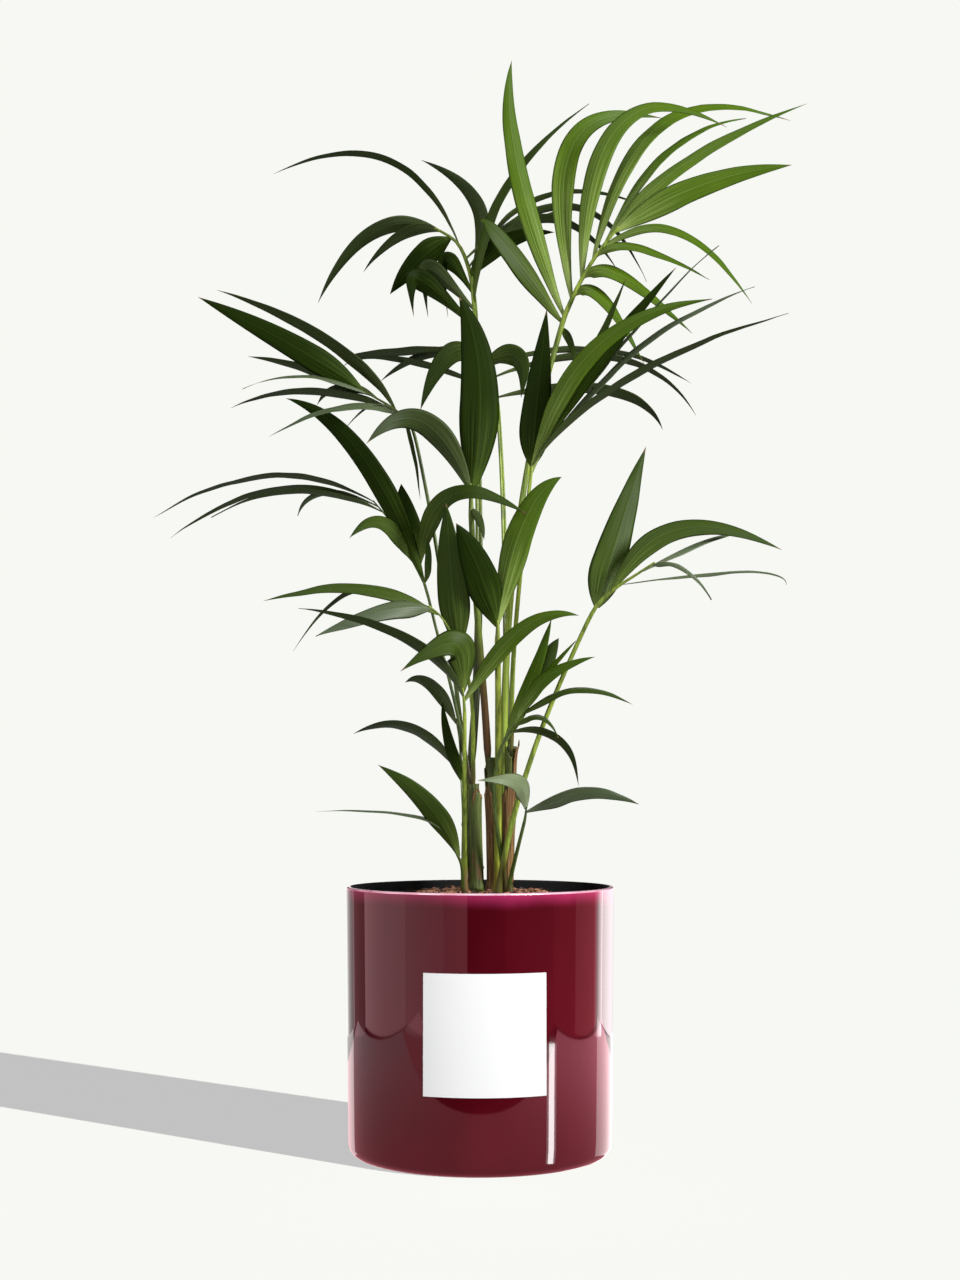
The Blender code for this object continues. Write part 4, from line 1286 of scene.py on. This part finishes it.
scene = bpy.context.scene
world = bpy.data.worlds.new("studio")
world.use_nodes = True
world.node_tree.nodes["Background"].inputs["Color"].default_value = (*BACKDROP_WHITE, 1)
world.cycles_visibility.glossy = False
world.cycles_visibility.diffuse = False
world.cycles_visibility.transmission = False
scene.world = world
scene.view_settings.view_transform = "Standard"


def group_of(name, pieces):
    """A collection that a light is linked to."""
    group = bpy.data.collections.new(name)
    for piece in pieces:
        group.objects.link(piece)
    return group


shown = [piece for piece in bpy.data.objects if piece.type == "MESH" and piece is not floor]
floor_only = group_of("floor_only", [floor])
pot_only = group_of("pot_only", [pot_shell])
pot_and_label = group_of("pot_and_label", [pot_shell, bare_label])
plant_only = group_of("plant_only", [piece for piece in shown if piece not in (pot_shell, bare_label)])
both = group_of("plant_and_pot", shown)


def sun(name, azimuth, height, strength, tint, casts):
    """A distant light on the floor alone: azimuth from the front toward the right, height in degrees."""
    lamp = bpy.data.objects.new(name, bpy.data.lights.new(name, "SUN"))
    lamp.data.energy = strength
    lamp.data.color = tint
    lamp.data.angle = math.radians(LAMP_WIDTH)
    lamp.rotation_euler = (math.radians(90 - height), 0, math.radians(azimuth))
    lamp.light_linking.receiver_collection = floor_only
    if not casts:
        lamp.light_linking.blocker_collection = floor_only
    scene.collection.objects.link(lamp)


floor_share = FLOOR_SHARE / math.pi
sun("even_light", 0, 90, EVEN_BRIGHTNESS / floor_share, WHITE, False)
key_strength = KEY_BRIGHTNESS / floor_share / math.sin(math.radians(KEY_HEIGHT))
sun("key_light", KEY_AZIMUTH, KEY_HEIGHT, key_strength, KEY_TINT, True)


def card(name, centre, size, brightness, receivers, aim=PLANT_MIDDLE, fade=(WHITE, WHITE)):
    """A rectangular light that the camera doesn't see, turned to its aim. It fades between two tints."""
    lamp = bpy.data.lights.new(name, "AREA")
    lamp.shape = "RECTANGLE"
    lamp.size, lamp.size_y = size
    lamp.energy = brightness * math.pi * size[0] * size[1]
    lamp.use_nodes = True
    gel = Bench(lamp.node_tree)
    place = gel.node("ShaderNodeNewGeometry", output="Parametric")
    spread = gel.node("ShaderNodeSeparateXYZ", values={"Vector": place})
    values = {"Factor_Float": spread.step(0.0, 1.0), "A_Color": fade[0], "B_Color": fade[1]}
    tint = gel.node("ShaderNodeMix", {"data_type": "RGBA"}, values, output="Result_Color")
    join(lamp.node_tree, tint, lamp.node_tree.nodes["Emission"].inputs["Color"])
    box = bpy.data.objects.new(name, lamp)
    box.location = centre
    box.rotation_euler = (aim - Vector(centre)).to_track_quat("-Z", "Y").to_euler()
    box.visible_camera = False
    box.light_linking.receiver_collection = receivers
    scene.collection.objects.link(box)


def round_pot(azimuth, distance, height):
    """The point at an azimuth from the front toward the right."""
    turn = math.radians(azimuth)
    return (distance * math.sin(turn), -distance * math.cos(turn), height)


# The soft boxes: where each stands, its width and height in metres, and its brightness.
card("overhead_box", (-0.3, -0.5, 2.6), (1.8, 1.4), 3.0, both)
card("front_right_box", round_pot(42, 2.4, 1.5), (1.2, 1.6), 18.0, pot_and_label)
card("front_left_box", round_pot(-50, 2.4, 1.5), (1.2, 1.6), 4.5, pot_and_label)
card("plant_box", round_pot(58, 2.4, 1.5), (0.7, 1.3), 48.0, plant_only)
card("plant_fill", round_pot(-20, 2.6, 1.0), (1.6, 1.6), 3.4, plant_only)
card("floor_bounce", (0, -0.2, -0.02), (2.6, 2.6), 0.9, plant_only, Vector((0, -0.2, 1)))
card("left_box", round_pot(-80, 2.0, 1.2), (0.8, 1.8), 3.0, both)
card("rear_box", round_pot(165, 2.4, 1.6), (1.8, 1.2), 2.5, plant_only)

# How far from the pot an upright card stands, and the heights of its lower and upper edge.
BAND = (1.0, -0.03, 0.3)
BACKDROP = (1.1, -0.045, 0.3)
LOW_BACKDROP = (1.1, -0.4, -0.045)
STREAK = (1.0, -0.285, -0.038)


def wall_card(name, first, last, stand, brightness, tint=WHITE, far=None):
    """An upright card that only the pot mirrors, from one azimuth to another. It can fade to a far tint."""
    distance, low, high = stand
    middle = (first + last) / 2
    width = 2 * distance * math.tan(math.radians(abs(last - first) / 2))
    centre = round_pot(middle, distance, (low + high) / 2)
    fade = (tint, far or tint)
    card(name, centre, (width, high - low), brightness, pot_only, Vector((0, 0, (low + high) / 2)), fade)


# What the glaze mirrors, each from one azimuth to another, in degrees from the front toward the right.
wall_card("left_band", -110.6, -62.6, BAND, 1.35, (1, 0.55, 0.60))
wall_card("left_inner_band", -62.6, -10, BAND, 0.80, (1, 0.38, 0.46))
wall_card("left_middle_band", -62.6, -28.8, BAND, 0.18, (1.4, 1.4, 1.4), (0.5, 0.5, 0.5))
wall_card("right_inner_band", 62, 113, BAND, 0.8, (1, 0.10, 0.16))
wall_card("right_warm_band", 20, 62, BAND, 0.4, (0.5, 0.04, 0.07), (1.7, 0.14, 0.24))
wall_card("right_edge_band", 84, 112, BAND, 0.45, (0.9, 0.36, 0.42))
wall_card("right_near_backdrop", 109, 123, BACKDROP, 1.0, (0.2, 0.1, 0.12), (4.4, 3.9, 4.0))
wall_card("right_far_backdrop", 123, 180, BACKDROP, 1.0, (3.6, 3.3, 3.4), (0.3, 0.3, 0.3))
wall_card("left_dim_band", -134, -110.6, BAND, 0.30, (1, 0.50, 0.55))
wall_card("left_backdrop", -180, -132, BACKDROP, 1.0, (1.6, 1.6, 1.6), (0.4, 0.36, 0.36))
wall_card("right_low_backdrop", 116, 180, LOW_BACKDROP, 1.0, (1.3, 1.2, 1.2), (2.0, 2.0, 2.0))
wall_card("left_low_backdrop", -180, -136, LOW_BACKDROP, 1.0, (0.3, 0.3, 0.3), (1.1, 1.05, 1.05))
wall_card("right_streak", 57.4, 62.6, STREAK, 14.0)
wall_card("right_streak_glow", 55.5, 64.5, STREAK, 1.6)

CARD_LIFT = 0.5 * MM


def table_card(name, across, near, size, fade):
    """A card that lies on the floor and glows up at the pot, which alone mirrors it."""
    card(name, (across, -near, CARD_LIFT), size, 1.0, pot_only, Vector((across, -near, 1)), fade)


TABLE_MIDDLE = (0.72, 0.24, 0.28)
TABLE_LEFT = (0.70, 0.52, 0.56)
TABLE_RIGHT = (2.1, 0.72, 0.95)
TABLE_WING = (0.66, 0.29, 0.33)
table_card("left_table", -0.39, -0.075, (0.78, 0.89), (TABLE_MIDDLE, TABLE_LEFT))
table_card("right_table", 0.39, -0.075, (0.78, 0.89), (TABLE_RIGHT, TABLE_MIDDLE))
table_card("left_table_front", -0.54, 0.51, (0.48, 0.28), (TABLE_WING, TABLE_WING))


# Camera
# It stands in front of the pot, a little above the rim, and looks slightly up, so that it sees a little
# of the soil and the undersides of the top fronds.
CAMERA_PITCH = 4.70
CAMERA_LENS = 51.05
CAMERA_SENSOR = 36
camera = bpy.data.objects.new("camera", bpy.data.cameras.new("camera"))
camera.data.sensor_fit = "AUTO"
camera.data.sensor_width = CAMERA_SENSOR
camera.data.lens = CAMERA_LENS
camera.location = (0, -EYE_DISTANCE, EYE_HEIGHT)
camera.rotation_euler = (math.radians(90 + CAMERA_PITCH), 0, 0)
scene.collection.objects.link(camera)
scene.camera = camera
